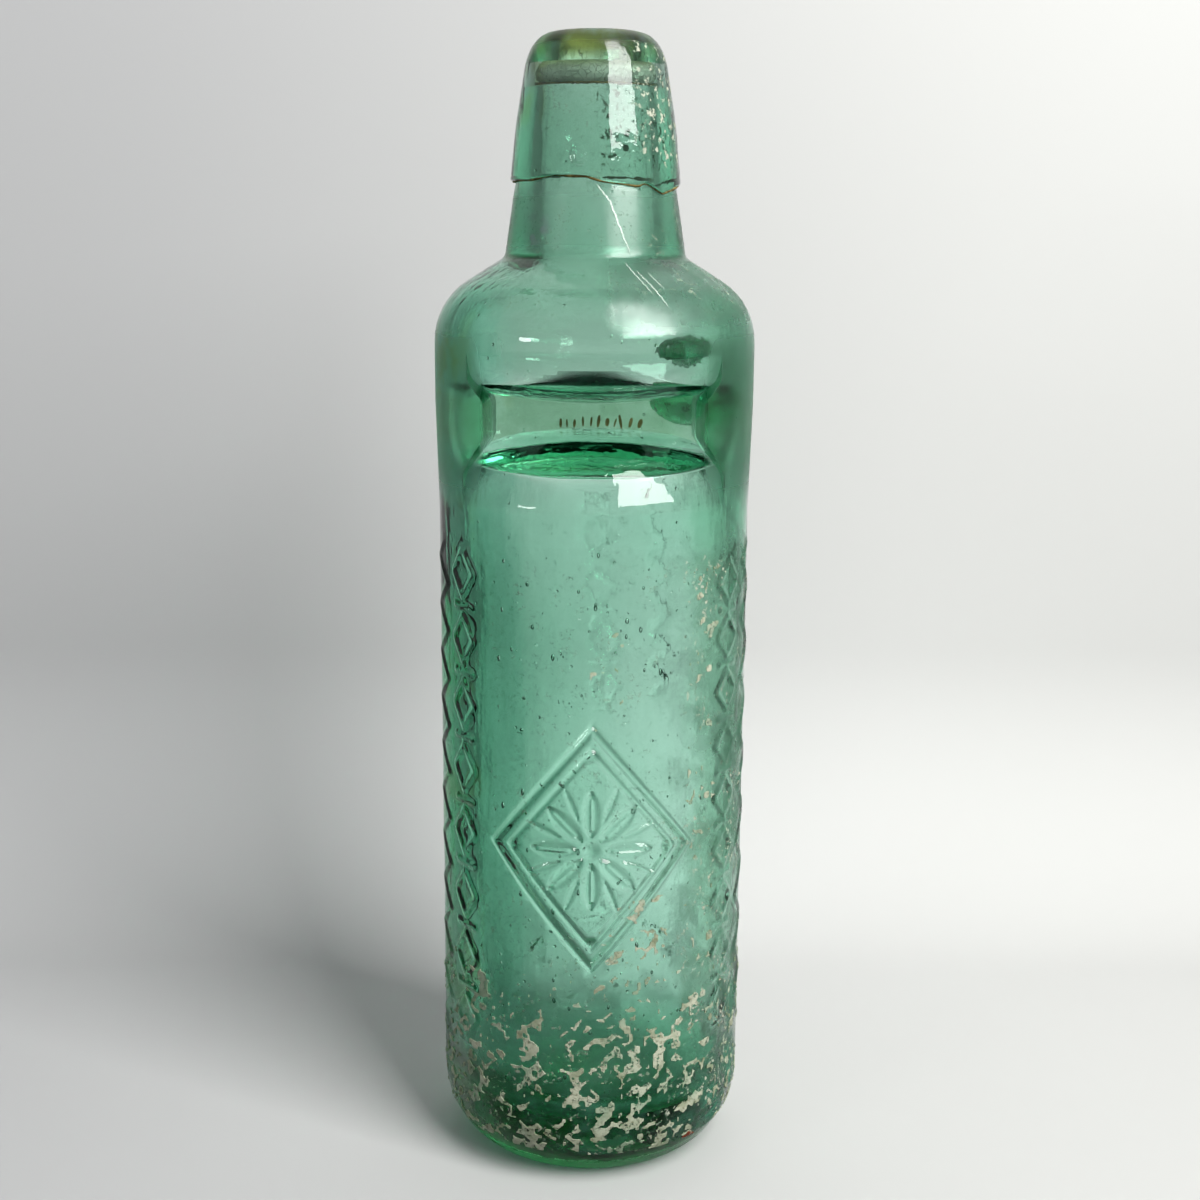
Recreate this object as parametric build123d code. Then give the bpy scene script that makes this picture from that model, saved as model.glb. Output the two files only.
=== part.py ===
from build123d import *
import math
import os

# A fizzy-drink bottle that is closed from inside by a glass marble. The drink's gas presses the marble up
# against a rubber ring in the lip. Pockets pinched in at the front and the back leave a slot too narrow for
# the marble, so that it stays in the chamber above them.
# Lengths are in millimetres and angles in degrees. Z is the bottle's axis, z = 0 is the surface that the
# bottle stands on, and -Y is its front.

# Marble and sealing ring
marble_radius = 9.0
marble_gap = 0.1  # between the marble and what it lies on or seals against
ring_cord_radius = 2.1
ring_hold = 1.5  # how far the ring's hole is smaller than the marble, all round
ring_gap = 0.1

# Barrel and base
body_radius = 31.1
body_wall = 4.6
base_thickness = 11.5
inner_heel_round = 12.0
heel_height = 15.2
heel_depth = 12.3
foot_width = 3.8
push_up_height = 1.2
swell = 0.6  # the band round the pockets and the chamber stands a little wider than the barrel
chamber_wall = 4.2

# Pockets, and the ledges that they leave inside
pinch_z = 154.2
pinch_floor_height = 4.6
pinch_wall = 4.0
slot_hold = 0.5  # how far the slot's half width is smaller than the marble's radius
pocket_half_width = 18.9
pocket_waist_height = 7.0  # the pockets' ends stand upright over this height, and spread above and below it
pocket_flare = 9.0
pocket_corner_round = 2.5
roof_spread = 3.5
roof_spread_height = 3.8
shelf_spread = 4.8
shelf_spread_height = 7.0
ledge_slope = 9.5
bulb_round = 11.0
dome_round = 15.7
surface_overlap = 0.25  # rounded ends run past the surface that they meet by this much
ledge_round_share = 0.65  # the most of a ledge's width that the round at its foot may take

# Shoulder and neck
shoulder_rise = 15.2  # from where the bulb's curve meets the band up to the neck's foot
shoulder_slope = 32.0
shoulder_round = 13.8
neck_foot_round = 2.0
throat_round = 6.0
neck_height = 28.8
neck_foot_clearance = 2.6  # between the marble and the bore
neck_end_clearance = 1.2
neck_foot_wall = 6.2
neck_end_wall = 3.1

# Lip
bare_neck = 14.1  # the length of neck below the lip
lip_step = 1.0
lip_foot_round = 0.5
lip_waist_height = 10.5
lip_waist_wall = 1.65
lip_waist_round = 40.0
seat_land = 2.7  # from the neck's end up to the floor of the ring's groove
crown_wall = 2.0
crown_rise = 3.8  # from the groove's floor up to where the lip starts to round over
crown_height = 6.8
crown_fullness_share = 0.55
rim_width = 0.8
mouth_radius = 7.4

# The marble's way from its ledge to the ring is one arc, which runs upright this far below the seal
upright_depth = 10.5

# Cutting solids run past the glass by this much
overrun = 5.0

ledge_tilt = math.tan(math.radians(ledge_slope))
ledge_cosine = math.cos(math.radians(ledge_slope))
shoulder_tilt = math.tan(math.radians(shoulder_slope))
shoulder_cosine = math.cos(math.radians(shoulder_slope))

# The band, the chamber and the slot between the ledges
band_radius = body_radius + swell
barrel_bore = body_radius - body_wall
chamber_radius = band_radius - chamber_wall
slot_half_width = marble_radius - slot_hold
pocket_floor = slot_half_width + pinch_wall

# The flat floors' upper and lower edges, and where the curves beyond them meet the barrel
floor_top_z = pinch_z + pinch_floor_height / 2
floor_bottom_z = pinch_z - pinch_floor_height / 2
bulb_climb = ledge_tilt * (band_radius - bulb_round - pocket_floor)
bulb_start_z = floor_top_z + bulb_climb + bulb_round / ledge_cosine
dome_drop = ledge_tilt * (body_radius - dome_round - pocket_floor)
dome_start_z = floor_bottom_z - dome_drop - dome_round / ledge_cosine

# The neck and its bore
neck_foot_z = bulb_start_z + shoulder_rise
neck_end_z = neck_foot_z + neck_height
neck_foot_bore = marble_radius + neck_foot_clearance
neck_end_bore = marble_radius + neck_end_clearance
neck_foot_radius = neck_foot_bore + neck_foot_wall
neck_end_radius = neck_end_bore + neck_end_wall

# The ring's groove and the lip round it
ring_hole = marble_radius - ring_hold
ring_centre_radius = ring_hole + ring_cord_radius
groove_radius = ring_centre_radius + ring_cord_radius + ring_gap
groove_floor_z = neck_end_z + seat_land
ring_z = groove_floor_z + ring_gap + ring_cord_radius
groove_top_z = ring_z + ring_cord_radius + ring_gap
lip_foot_z = neck_foot_z + bare_neck
lip_waist_z = lip_foot_z + lip_waist_height
crown_z = groove_floor_z + crown_rise
crown_radius = groove_radius + crown_wall
bottle_height = crown_z + crown_height
rim_radius = mouth_radius + rim_width

# Where the marble lies in the picture, at the right end of the ledges, and where it seals
marble_reach = marble_radius + marble_gap
marble_x = chamber_radius - marble_reach
marble_z = floor_top_z + math.sqrt((marble_reach + pinch_wall) ** 2 - pocket_floor**2)
seal_z = ring_z - math.sqrt((marble_reach + ring_cord_radius) ** 2 - ring_centre_radius**2)


def neck_radius_at(z):
    """The neck's outer radius at a height, on its straight taper."""
    share = (z - neck_foot_z) / neck_height
    return neck_foot_radius + share * (neck_end_radius - neck_foot_radius)


def above_pinch(y, wall=0):
    """The height of the pockets' sloping roof at depth y, or of the ledge's top a wall above it."""
    return floor_top_z + ledge_tilt * (y - pocket_floor) + wall / ledge_cosine


def below_pinch(y, wall=0):
    """The height of the pockets' sloping shelf at depth y, or of the ledge's underside a wall below it."""
    return floor_bottom_z - ledge_tilt * (y - pocket_floor) - wall / ledge_cosine


def round_corner(sketch, x, y, radius):
    """Rounds the corner of an open sketch that lies nearest to a point."""
    fillet(sketch.vertices().sort_by_distance(Vector(x, y))[0], radius=radius)


def full_glass():
    """The body's outside before the pockets: foot, heel, barrel, band, shoulder and neck."""
    foot_radius = body_radius - heel_depth
    push_up_radius = foot_radius - foot_width
    corner_z = neck_foot_z - shoulder_tilt * (band_radius - neck_foot_radius)
    with BuildPart() as glass:
        with BuildSketch(Plane.XZ) as outline:
            with BuildLine():
                TangentArc((0, push_up_height), (push_up_radius, 0), tangent=(1, 0))
                Line((push_up_radius, 0), (foot_radius, 0))
                EllipticalCenterArc((foot_radius, heel_height), heel_depth, heel_height, start_angle=-90)
                Polyline(
                    (body_radius, heel_height),
                    (body_radius, dome_start_z),
                    (band_radius, floor_top_z),
                    (band_radius, corner_z),
                    (neck_foot_radius, neck_foot_z),
                    (neck_end_radius, neck_end_z),
                    (0, neck_end_z),
                    (0, push_up_height),
                )
            make_face()
            round_corner(outline, band_radius, corner_z, shoulder_round)
            round_corner(outline, neck_foot_radius, neck_foot_z, neck_foot_round)
        revolve(axis=Axis.Z)
    return glass.part


def bulb_and_dome():
    """The rounded glass above and below the pockets, which a pocket's box leaves standing."""
    bulb_edge = band_radius + surface_overlap
    dome_edge = body_radius + surface_overlap
    with BuildPart() as glass:
        with BuildSketch(Plane.XZ) as bulb:
            with BuildLine():
                Polyline(
                    (0, above_pinch(0)),
                    (bulb_edge, above_pinch(bulb_edge)),
                    (bulb_edge, neck_foot_z),
                    (0, neck_foot_z),
                    close=True,
                )
            make_face()
            round_corner(bulb, bulb_edge, above_pinch(bulb_edge), bulb_round)
        revolve(axis=Axis.Z)
        with BuildSketch(Plane.XZ) as dome:
            with BuildLine():
                Polyline(
                    (0, below_pinch(0)),
                    (dome_edge, below_pinch(dome_edge)),
                    (dome_edge, 0),
                    (0, 0),
                    close=True,
                )
            make_face()
            round_corner(dome, dome_edge, below_pinch(dome_edge), dome_round)
        revolve(axis=Axis.Z)
    return glass.part


def pocket_outline(way):
    """The corners of a pocket's end to the left (-1) or right (1), from low to high, about the pinch."""
    waist = pocket_waist_height / 2
    return [
        (way * (pocket_half_width + shelf_spread), dome_start_z - pinch_z),
        (way * (pocket_half_width + shelf_spread), -waist - shelf_spread_height),
        (way * pocket_half_width, -waist),
        (way * pocket_half_width, waist),
        (way * (pocket_half_width + roof_spread), waist + roof_spread_height),
        (way * (pocket_half_width + roof_spread), bulb_start_z - pinch_z),
    ]


def pocket(side):
    """One pocket's space: a waisted box that widens outwards, between the bulb and the dome."""
    floor = Plane(origin=(0, side * pocket_floor, pinch_z), x_dir=(-side, 0, 0), z_dir=(0, side, 0))
    right, left = pocket_outline(1), pocket_outline(-1)
    with BuildPart() as space:
        with BuildSketch(floor) as outline:
            with BuildLine():
                Polyline(*right, *reversed(left), close=True)
            make_face()
            for x, z in right[1:-1] + left[1:-1]:
                round_corner(outline, x, z, pocket_corner_round)
        extrude(amount=band_radius + overrun - pocket_floor, taper=-pocket_flare)
    return space.part - bulb_and_dome()


def bore():
    """The inside of the body before the ledges: barrel, chamber, throat and neck."""
    roof_z = neck_foot_z - chamber_wall / shoulder_cosine
    corner_z = roof_z - shoulder_tilt * (chamber_radius - neck_foot_radius)
    throat_z = roof_z + shoulder_tilt * (neck_foot_radius - neck_foot_bore)
    with BuildPart() as space:
        with BuildSketch(Plane.XZ) as outline:
            with BuildLine():
                Polyline(
                    (0, base_thickness),
                    (barrel_bore, base_thickness),
                    (barrel_bore, dome_start_z),
                    (chamber_radius, floor_top_z),
                    (chamber_radius, corner_z),
                    (neck_foot_bore, throat_z),
                    (neck_end_bore, neck_end_z),
                    (neck_end_bore, neck_end_z + overrun),
                    (0, neck_end_z + overrun),
                    close=True,
                )
            make_face()
            round_corner(outline, barrel_bore, base_thickness, inner_heel_round)
            round_corner(outline, chamber_radius, corner_z, shoulder_round - chamber_wall)
            round_corner(outline, neck_foot_bore, throat_z, throat_round)
        revolve(axis=Axis.Z)
    return space.part


def foot_round(outer_round, edge):
    """The round inside a ledge's foot: a wall less than the round outside, within the ledge's width."""
    return min(outer_round - pinch_wall, ledge_round_share * (edge - slot_half_width))


def ledge(side):
    """The glass that a pocket pushes into the body: a bar across it, its edges rounded by the wall."""
    chamber_edge = chamber_radius + surface_overlap
    barrel_edge = barrel_bore + surface_overlap
    outside = band_radius + overrun
    corners = (
        (slot_half_width, below_pinch(slot_half_width, pinch_wall), pinch_wall),
        (slot_half_width, above_pinch(slot_half_width, pinch_wall), pinch_wall),
        (chamber_edge, above_pinch(chamber_edge, pinch_wall), foot_round(bulb_round, chamber_edge)),
        (barrel_edge, below_pinch(barrel_edge, pinch_wall), foot_round(dome_round, barrel_edge)),
    )
    slot_low, slot_high, chamber_corner, barrel_corner = [(side * y, z) for y, z, _ in corners]
    with BuildPart() as bar:
        with BuildSketch(Plane.YZ) as section:
            with BuildLine():
                Polyline(
                    slot_low,
                    slot_high,
                    chamber_corner,
                    (side * chamber_edge, neck_foot_z),
                    (side * outside, neck_foot_z),
                    (side * outside, 0),
                    (side * barrel_edge, 0),
                    barrel_corner,
                    close=True,
                )
            make_face()
            for y, z, radius in corners:
                round_corner(section, side * y, z, radius)
        extrude(amount=band_radius, both=True)
    return bar.part


def make_body():
    """The moulded glass body with its base, pockets, chamber, shoulder and neck."""
    inside = bore() - ledge(-1) - ledge(1)
    return full_glass() - pocket(-1) - pocket(1) - inside


def make_lip():
    """The gather of glass laid round the neck's end: outer taper, crown, mouth and the ring's groove."""
    lip_foot_radius = neck_radius_at(lip_foot_z) + lip_step
    waist_radius = neck_radius_at(lip_waist_z) + lip_waist_wall
    crown_tilt = (waist_radius - crown_radius) / (crown_z - lip_waist_z)
    crown_reach = crown_fullness_share * crown_height
    rim_reach = crown_fullness_share * (crown_radius - rim_radius)
    with BuildPart() as lip:
        with BuildSketch(Plane.XZ) as outline:
            with BuildLine():
                Polyline(
                    (neck_radius_at(lip_foot_z), lip_foot_z),
                    (lip_foot_radius, lip_foot_z),
                    (waist_radius, lip_waist_z),
                    (crown_radius, crown_z),
                )
                Bezier(
                    (crown_radius, crown_z),
                    (crown_radius - crown_tilt * crown_reach, crown_z + crown_reach),
                    (rim_radius + rim_reach, bottle_height),
                    (rim_radius, bottle_height),
                )
                TangentArc(
                    (rim_radius, bottle_height),
                    (mouth_radius, bottle_height - rim_width),
                    tangent=(-1, 0),
                )
                Polyline(
                    (mouth_radius, bottle_height - rim_width),
                    (mouth_radius, groove_top_z),
                    (groove_radius, groove_top_z),
                    (groove_radius, groove_floor_z),
                    (neck_end_bore, groove_floor_z),
                    (neck_end_bore, neck_end_z),
                    (neck_end_radius, neck_end_z),
                    (neck_radius_at(lip_foot_z), lip_foot_z),
                )
            make_face()
            round_corner(outline, lip_foot_radius, lip_foot_z, lip_foot_round)
            round_corner(outline, waist_radius, lip_waist_z, lip_waist_round)
        revolve(axis=Axis.Z)
    return lip.part


def make_ring():
    """The rubber ring of round cord that lies in the lip's groove."""
    return Pos(0, 0, ring_z) * Torus(ring_centre_radius, ring_cord_radius)


def make_marble():
    """The glass marble, at the right end of the ledges against the chamber's wall."""
    return Pos(marble_x, 0, marble_z) * Sphere(marble_radius)


def marble_arc():
    """The marble's way to the ring as one arc: its centre (x, z) and the angle that it turns through."""
    arc_z = seal_z - upright_depth
    arc_x = (marble_x**2 + (marble_z - arc_z) ** 2 - upright_depth**2) / (2 * marble_x)
    start = math.atan2(arc_z - marble_z, arc_x - marble_x)
    end = math.atan2(arc_z - seal_z, arc_x)
    return arc_x, arc_z, math.degrees(start - end)


pieces = {
    "bottle_body": make_body(),
    "applied_lip": make_lip(),
    "sealing_ring": make_ring(),
    "marble": make_marble(),
}

os.makedirs("parts", exist_ok=True)
for name, piece in pieces.items():
    export_step(piece, os.path.join("parts", name + ".step"))

arc_x, arc_z, swing = marble_arc()
print(f"bottle height {bottle_height:.3f}, band radius {band_radius:.3f}")
print(f"marble at x {marble_x:.3f}, z {marble_z:.3f}; seals at z {seal_z:.3f}")
print(f"marble arc about x {arc_x:.3f}, z {arc_z:.3f}, through {swing:.3f} degrees")
print(f"mouth radius {mouth_radius:.3f} from z {groove_top_z:.3f} to {bottle_height - rim_width:.3f}")
print(f"slot half width {slot_half_width:.3f}, z {floor_bottom_z:.3f} to {floor_top_z:.3f}")
print(f"bulb from z {bulb_start_z:.3f}, dome from z {dome_start_z:.3f}, neck foot z {neck_foot_z:.3f}")
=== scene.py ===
# %% [markdown]
# # A bottle that a marble closes
#
# This lesson dresses a fizzy-drink bottle of thick aqua glass. A glass marble lies in a chamber above two
# pinched pockets, and once rose against a rubber ring in the lip. The bottle lay in the ground for years,
# so its skin carries lime, rust and a dull bloom.
#
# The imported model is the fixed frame: it says where every piece is and how large. Everything that shows is
# built around it, in metres.

# %% The fixed frame
import math
import random

import bmesh
import bpy
import numpy as np
from mathutils import Matrix, Vector


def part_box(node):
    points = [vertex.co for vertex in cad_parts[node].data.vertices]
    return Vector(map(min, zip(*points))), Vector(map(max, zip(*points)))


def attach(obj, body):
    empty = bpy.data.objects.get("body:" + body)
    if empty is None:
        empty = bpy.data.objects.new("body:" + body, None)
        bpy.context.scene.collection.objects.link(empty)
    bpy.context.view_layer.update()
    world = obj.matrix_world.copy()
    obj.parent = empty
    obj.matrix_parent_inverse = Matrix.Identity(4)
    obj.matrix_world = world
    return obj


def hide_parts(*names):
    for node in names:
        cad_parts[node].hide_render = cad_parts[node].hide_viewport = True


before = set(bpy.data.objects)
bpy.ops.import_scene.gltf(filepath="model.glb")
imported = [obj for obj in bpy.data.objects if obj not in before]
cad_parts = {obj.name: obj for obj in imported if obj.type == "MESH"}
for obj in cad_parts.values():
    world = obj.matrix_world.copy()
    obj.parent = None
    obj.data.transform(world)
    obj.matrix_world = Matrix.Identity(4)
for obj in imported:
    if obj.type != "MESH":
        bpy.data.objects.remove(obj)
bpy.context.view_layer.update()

MM = 0.001
_, body_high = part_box("bottle_body")
lip_low, lip_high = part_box("applied_lip")
ring_low, ring_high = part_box("sealing_ring")
marble_low, marble_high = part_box("marble")
print("marble", [round(size / MM, 1) for size in marble_high - marble_low], "mm")

# %% [markdown]
# ## The camera
#
# The camera stands where the photographer stood: a third of a metre in front, a little above the middle of
# the neck, looking slightly down. A close camera makes the foot look smaller than the shoulder, so its
# distance matters as much as its direction. Both were found by laying the bottle's outline over the
# photograph.

# %% A camera at the photographer's place
camera_place = Vector((1.4, -341.6, 185.6)) * MM
camera_pitch = math.radians(11.63)
camera_roll = math.radians(0.38)
lens_mm = 51.0
sensor_mm = 36.0

camera_data = bpy.data.cameras.new("photo_camera")
camera_data.lens = lens_mm
camera_data.sensor_width = sensor_mm
camera_data.sensor_fit = "HORIZONTAL"
camera_data.clip_start = 10 * MM
camera = bpy.data.objects.new("photo_camera", camera_data)
camera.location = camera_place
tilt = Matrix.Rotation(math.pi / 2 - camera_pitch, 4, "X")
camera.rotation_euler = (tilt @ Matrix.Rotation(camera_roll, 4, "Z")).to_euler()
bpy.context.scene.collection.objects.link(camera)
bpy.context.scene.camera = camera
bpy.context.scene.view_settings.view_transform = "Standard"
print("camera", [round(value / MM) for value in camera.location], "mm, lens", lens_mm)

# %% [markdown]
# ## Tools of the trade
#
# Three habits keep edit mode safe in a script. Everything is deselected before a new piece is added,
# because an operator acts on all that is selected. Faces and edges are then picked by where they are. And a
# mesh is read and written as one array when a formula moves every point.

# %% Selecting, reading and writing
def only(*objects):
    """Selects just these objects, the first one active, in object mode."""
    if bpy.context.object and bpy.context.object.mode != "OBJECT":
        bpy.ops.object.mode_set(mode="OBJECT")
    bpy.ops.object.select_all(action="DESELECT")
    for item in objects:
        item.select_set(True)
    bpy.context.view_layer.objects.active = objects[0]
    return objects[0]


def fresh(add, name, **settings):
    """Adds a primitive at the origin with nothing else selected, and names it."""
    if bpy.context.object and bpy.context.object.mode != "OBJECT":
        bpy.ops.object.mode_set(mode="OBJECT")
    bpy.ops.object.select_all(action="DESELECT")
    add(location=(0, 0, 0), **settings)
    item = bpy.context.object
    item.name = item.data.name = name
    return item


def edit(item, kind="VERT", keep=False):
    """Enters edit mode on one object, with nothing selected unless the selection is kept."""
    only(item)
    bpy.ops.object.mode_set(mode="EDIT")
    bpy.ops.mesh.select_mode(type=kind)
    if not keep:
        bpy.ops.mesh.select_all(action="DESELECT")


def pick(item, kind, test):
    """Selects the vertices, edges or faces whose middle passes a test, and returns how many there are."""
    bpy.ops.mesh.select_all(action="DESELECT")
    shape = bmesh.from_edit_mesh(item.data)
    found = 0
    for part in {"VERT": shape.verts, "EDGE": shape.edges, "FACE": shape.faces}[kind]:
        if test(part):
            part.select_set(True)
            found += 1
    shape.select_flush_mode()
    bmesh.update_edit_mesh(item.data)
    return found


def divide(item, cuts, test=lambda face: True):
    """Divides the faces that pass a test, and prints how many there are."""
    edit(item, "FACE")
    print(item.name, "has", pick(item, "FACE", test), "faces divided by", cuts, "cuts")
    bpy.ops.mesh.subdivide(number_cuts=cuts)
    bpy.ops.object.mode_set(mode="OBJECT")

# %% Points as an array, modifiers, and what to print about a piece
def points_of(item):
    """The object's points as an array."""
    points = np.empty(len(item.data.vertices) * 3)
    item.data.vertices.foreach_get("co", points)
    return points.reshape(-1, 3)


def put_points(item, points):
    """Writes the object's points from an array."""
    item.data.vertices.foreach_set("co", points.ravel())
    item.data.update()


def apply_modifier(item, kind, **settings):
    """Adds a modifier, sets it and applies it."""
    only(item)
    modifier = item.modifiers.new(kind.lower(), kind)
    for key, value in settings.items():
        setattr(modifier, key, value)
    bpy.ops.object.modifier_apply(modifier=modifier.name)


def middle(edge):
    """The middle of an edge in edit mode."""
    return (edge.verts[0].co + edge.verts[1].co) / 2


def close_up(item):
    """Turns every face of the piece outwards and goes back to object mode."""
    bpy.ops.mesh.select_all(action="SELECT")
    bpy.ops.mesh.normals_make_consistent(inside=False)
    bpy.ops.object.mode_set(mode="OBJECT")
    return item


def open_edges(item):
    """How many edges don't join exactly two faces: none on a closed body."""
    shape = bmesh.new()
    shape.from_mesh(item.data)
    count = sum(1 for edge in shape.edges if len(edge.link_faces) != 2)
    shape.free()
    return count


def tell(item):
    """Prints how large a mesh is and whether it is closed."""
    size = f"{len(item.data.vertices)} points, {len(item.data.polygons)} faces"
    print(f"{item.name}: {size}, {open_edges(item)} open edges")


def smooth(item, below=None):
    """Shades a piece smoothly, or only where its faces meet at less than an angle in degrees."""
    only(item)
    if below is None:
        bpy.ops.object.shade_smooth()
    else:
        bpy.ops.object.shade_smooth_by_angle(angle=math.radians(below))

# %% Outlines that a lathe can follow
def rounded(points, rounds, turn_step=math.radians(7)):
    """An outline's points with some corners rounded: rounds says which corner gets which radius."""
    made = []
    for index, corner in enumerate(points):
        if index not in rounds:
            made.append(tuple(corner))
            continue
        corner = np.array(corner)
        back = np.array(points[index - 1]) - corner
        ahead = np.array(points[index + 1]) - corner
        back, ahead = back / np.linalg.norm(back), ahead / np.linalg.norm(ahead)
        half = math.acos(np.clip(back @ ahead, -1, 1)) / 2
        bisector = (back + ahead) / np.linalg.norm(back + ahead)
        centre = corner + bisector * rounds[index] / math.sin(half)
        first = corner + back * rounds[index] / math.tan(half) - centre
        last = corner + ahead * rounds[index] / math.tan(half) - centre
        start = math.atan2(first[1], first[0])
        swing = math.remainder(math.atan2(last[1], last[0]) - start, math.tau)
        count = max(2, round(abs(swing) / turn_step))
        for angle in start + swing * np.arange(count + 1) / count:
            made.append(tuple(centre + rounds[index] * np.array((math.cos(angle), math.sin(angle)))))
    return made


def stepped(points, step):
    """The outline with every run divided into steps no longer than this."""
    made = [points[0]]
    for start, end in zip(points, points[1:]):
        count = max(1, math.ceil(math.dist(start, end) / step - 0.2))
        made += [tuple(np.array(start) + (np.array(end) - start) * k / count) for k in range(1, count + 1)]
    return made


def drawn(name, points):
    """Draws an outline of (radius, height) in millimetres by extruding one point after another."""
    item = fresh(bpy.ops.mesh.primitive_plane_add, name, size=MM)
    bpy.ops.object.mode_set(mode="EDIT")
    bpy.ops.mesh.select_mode(type="VERT")
    bpy.ops.mesh.select_all(action="SELECT")
    bpy.ops.mesh.merge(type="CENTER")
    bpy.ops.transform.translate(value=(points[0][0] * MM, 0, points[0][1] * MM))
    for start, end in zip(points, points[1:]):
        move = ((end[0] - start[0]) * MM, 0, (end[1] - start[1]) * MM)
        bpy.ops.mesh.extrude_vertices_move(TRANSFORM_OT_translate={"value": move})
    return item


def turned(name, points, segments):
    """Spins an outline round the bottle's axis, closed at the seam and at the poles."""
    item = drawn(name, points)
    bpy.ops.mesh.select_all(action="SELECT")
    bpy.ops.mesh.spin(steps=segments, angle=math.tau, center=(0, 0, 0), axis=(0, 0, 1))
    bpy.ops.mesh.select_all(action="SELECT")
    bpy.ops.mesh.remove_doubles(threshold=0.01 * MM)
    return close_up(item)


def cord(name, radius, z, breadth, height, sides, segments):
    """A ring with an oval section, all sizes in millimetres."""
    turns = np.linspace(0, math.tau, sides + 1)
    return turned(name, [(radius + breadth * math.cos(t), z + height * math.sin(t)) for t in turns], segments)

# %% [markdown]
# ## The sizes of the glass
#
# These repeat the driving sizes of the construction, in millimetres, so that the dressed bottle lies on its
# solids. Radii are measured from the bottle's axis. What the frame can tell is read from it.

# %% Sizes of the glass
body_radius = 31.1
band_radius = body_high.x / MM
barrel_bore = 26.5
chamber_radius = 27.5
chamber_wall = band_radius - chamber_radius
base_thickness, inner_heel_round = 11.5, 12.0
heel_height, heel_depth = 15.2, 12.3
foot_width, push_up_height = 3.8, 1.2

pinch_z = 154.2
pinch_wall = 4.0
slot_half_width = 8.5
pocket_floor = slot_half_width + pinch_wall
floor_top_z, floor_bottom_z = pinch_z + 2.3, pinch_z - 2.3
ledge_tilt = math.tan(math.radians(9.5))
ledge_cosine = math.cos(math.radians(9.5))
bulb_round, dome_round = 11.0, 15.7
pocket_half_width, pocket_waist = 18.9, 3.5
roof_spread, roof_spread_height = 3.5, 3.8
shelf_spread, shelf_spread_height = 4.8, 7.0
pocket_flare = math.tan(math.radians(9))
bulb_reach = band_radius - bulb_round - pocket_floor
dome_reach = body_radius - dome_round - pocket_floor
bulb_start_z = floor_top_z + ledge_tilt * bulb_reach + bulb_round / ledge_cosine
dome_start_z = floor_bottom_z - ledge_tilt * dome_reach - dome_round / ledge_cosine

shoulder_tilt = math.tan(math.radians(32))
shoulder_cosine = math.cos(math.radians(32))
neck_foot_z = bulb_start_z + 15.2
neck_end_z = body_high.z / MM
neck_foot_bore, neck_end_bore = 11.6, 10.2
neck_foot_radius, neck_end_radius = 17.8, 13.3
groove_floor_z = ring_low.z / MM - 0.1
groove_top_z = ring_high.z / MM + 0.1
groove_radius = ring_high.x / MM + 0.1
lip_foot_z = lip_low.z / MM
lip_waist_z = lip_foot_z + 10.5
crown_z = groove_floor_z + 3.8
crown_radius = groove_radius + 2.0
rim_z = lip_high.z / MM
mouth_radius, rim_width = 7.4, 0.8


def neck_radius_at(z):
    """The neck's outer radius at a height."""
    share = (z - neck_foot_z) / (neck_end_z - neck_foot_z)
    return neck_foot_radius + share * (neck_end_radius - neck_foot_radius)


print(f"pockets from {dome_start_z:.1f} to {bulb_start_z:.1f} mm")
print(f"neck from {neck_foot_z:.1f} mm, lip from {lip_foot_z:.1f} mm")

# %% [markdown]
# ## The moulded glass, as one skin
#
# On the real bottle the lip is a second gather of glass, melted onto the neck, so light meets no face
# between the two. Two touching solids would show a false mirror there. So one skin stands for both:
# outside, over the rim, and down the inside.
#
# Most of it is round, and a lathe gives it the evenest facets, which matter because glass shows every
# unevenness twice. Only the stretch with the pockets isn't round. Its outside is a lathe's slab that is
# carved with the pockets' own shape, cut square, and bridged to the rings of points above and below it.

# %% The outlines of the outside and the inside
corner_z = neck_foot_z - shoulder_tilt * (band_radius - neck_foot_radius)
roof_z = neck_foot_z - chamber_wall / shoulder_cosine
roof_corner_z = roof_z - shoulder_tilt * (chamber_radius - neck_foot_radius)
throat_z = roof_z + shoulder_tilt * (neck_foot_radius - neck_foot_bore)
heel_centre = body_radius - heel_depth

heel_arc = [
    (heel_centre + heel_depth * math.sin(turn), heel_height * (1 - math.cos(turn)))
    for turn in np.linspace(0, math.pi / 2, 19)
]
push_up = [
    (share * (heel_centre - foot_width), push_up_height * (1 - share**2))
    for share in np.linspace(0, 1, 9)
]
foot_outline = push_up + heel_arc
wall_outline = rounded(
    [
        (body_radius, heel_height),
        (body_radius, dome_start_z),
        (band_radius, floor_top_z),
        (band_radius, corner_z),
        (neck_foot_radius, neck_foot_z),
        (neck_radius_at(lip_foot_z), lip_foot_z),
    ],
    {3: 13.8, 4: 2.0},
)
bore_outline = rounded(
    [
        (0, base_thickness),
        (barrel_bore, base_thickness),
        (barrel_bore, dome_start_z),
        (chamber_radius, floor_top_z),
        (chamber_radius, roof_corner_z),
        (neck_foot_bore, throat_z),
        (neck_end_bore, neck_end_z),
    ],
    {1: inner_heel_round, 4: 13.8 - chamber_wall, 5: 6.0},
)


def radius_at(outline, z):
    """An outline's radius at given heights."""
    radii, heights = np.array(outline).T
    return np.interp(z, heights, radii)


def between(outline, low, high):
    """The part of an outline between two heights, cut square there."""
    inner = [point for point in outline if low < point[1] < high]
    return [(float(radius_at(outline, low)), low), *inner, (float(radius_at(outline, high)), high)]


print("wall", len(wall_outline), "points; bore", len(bore_outline), "points")

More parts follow.
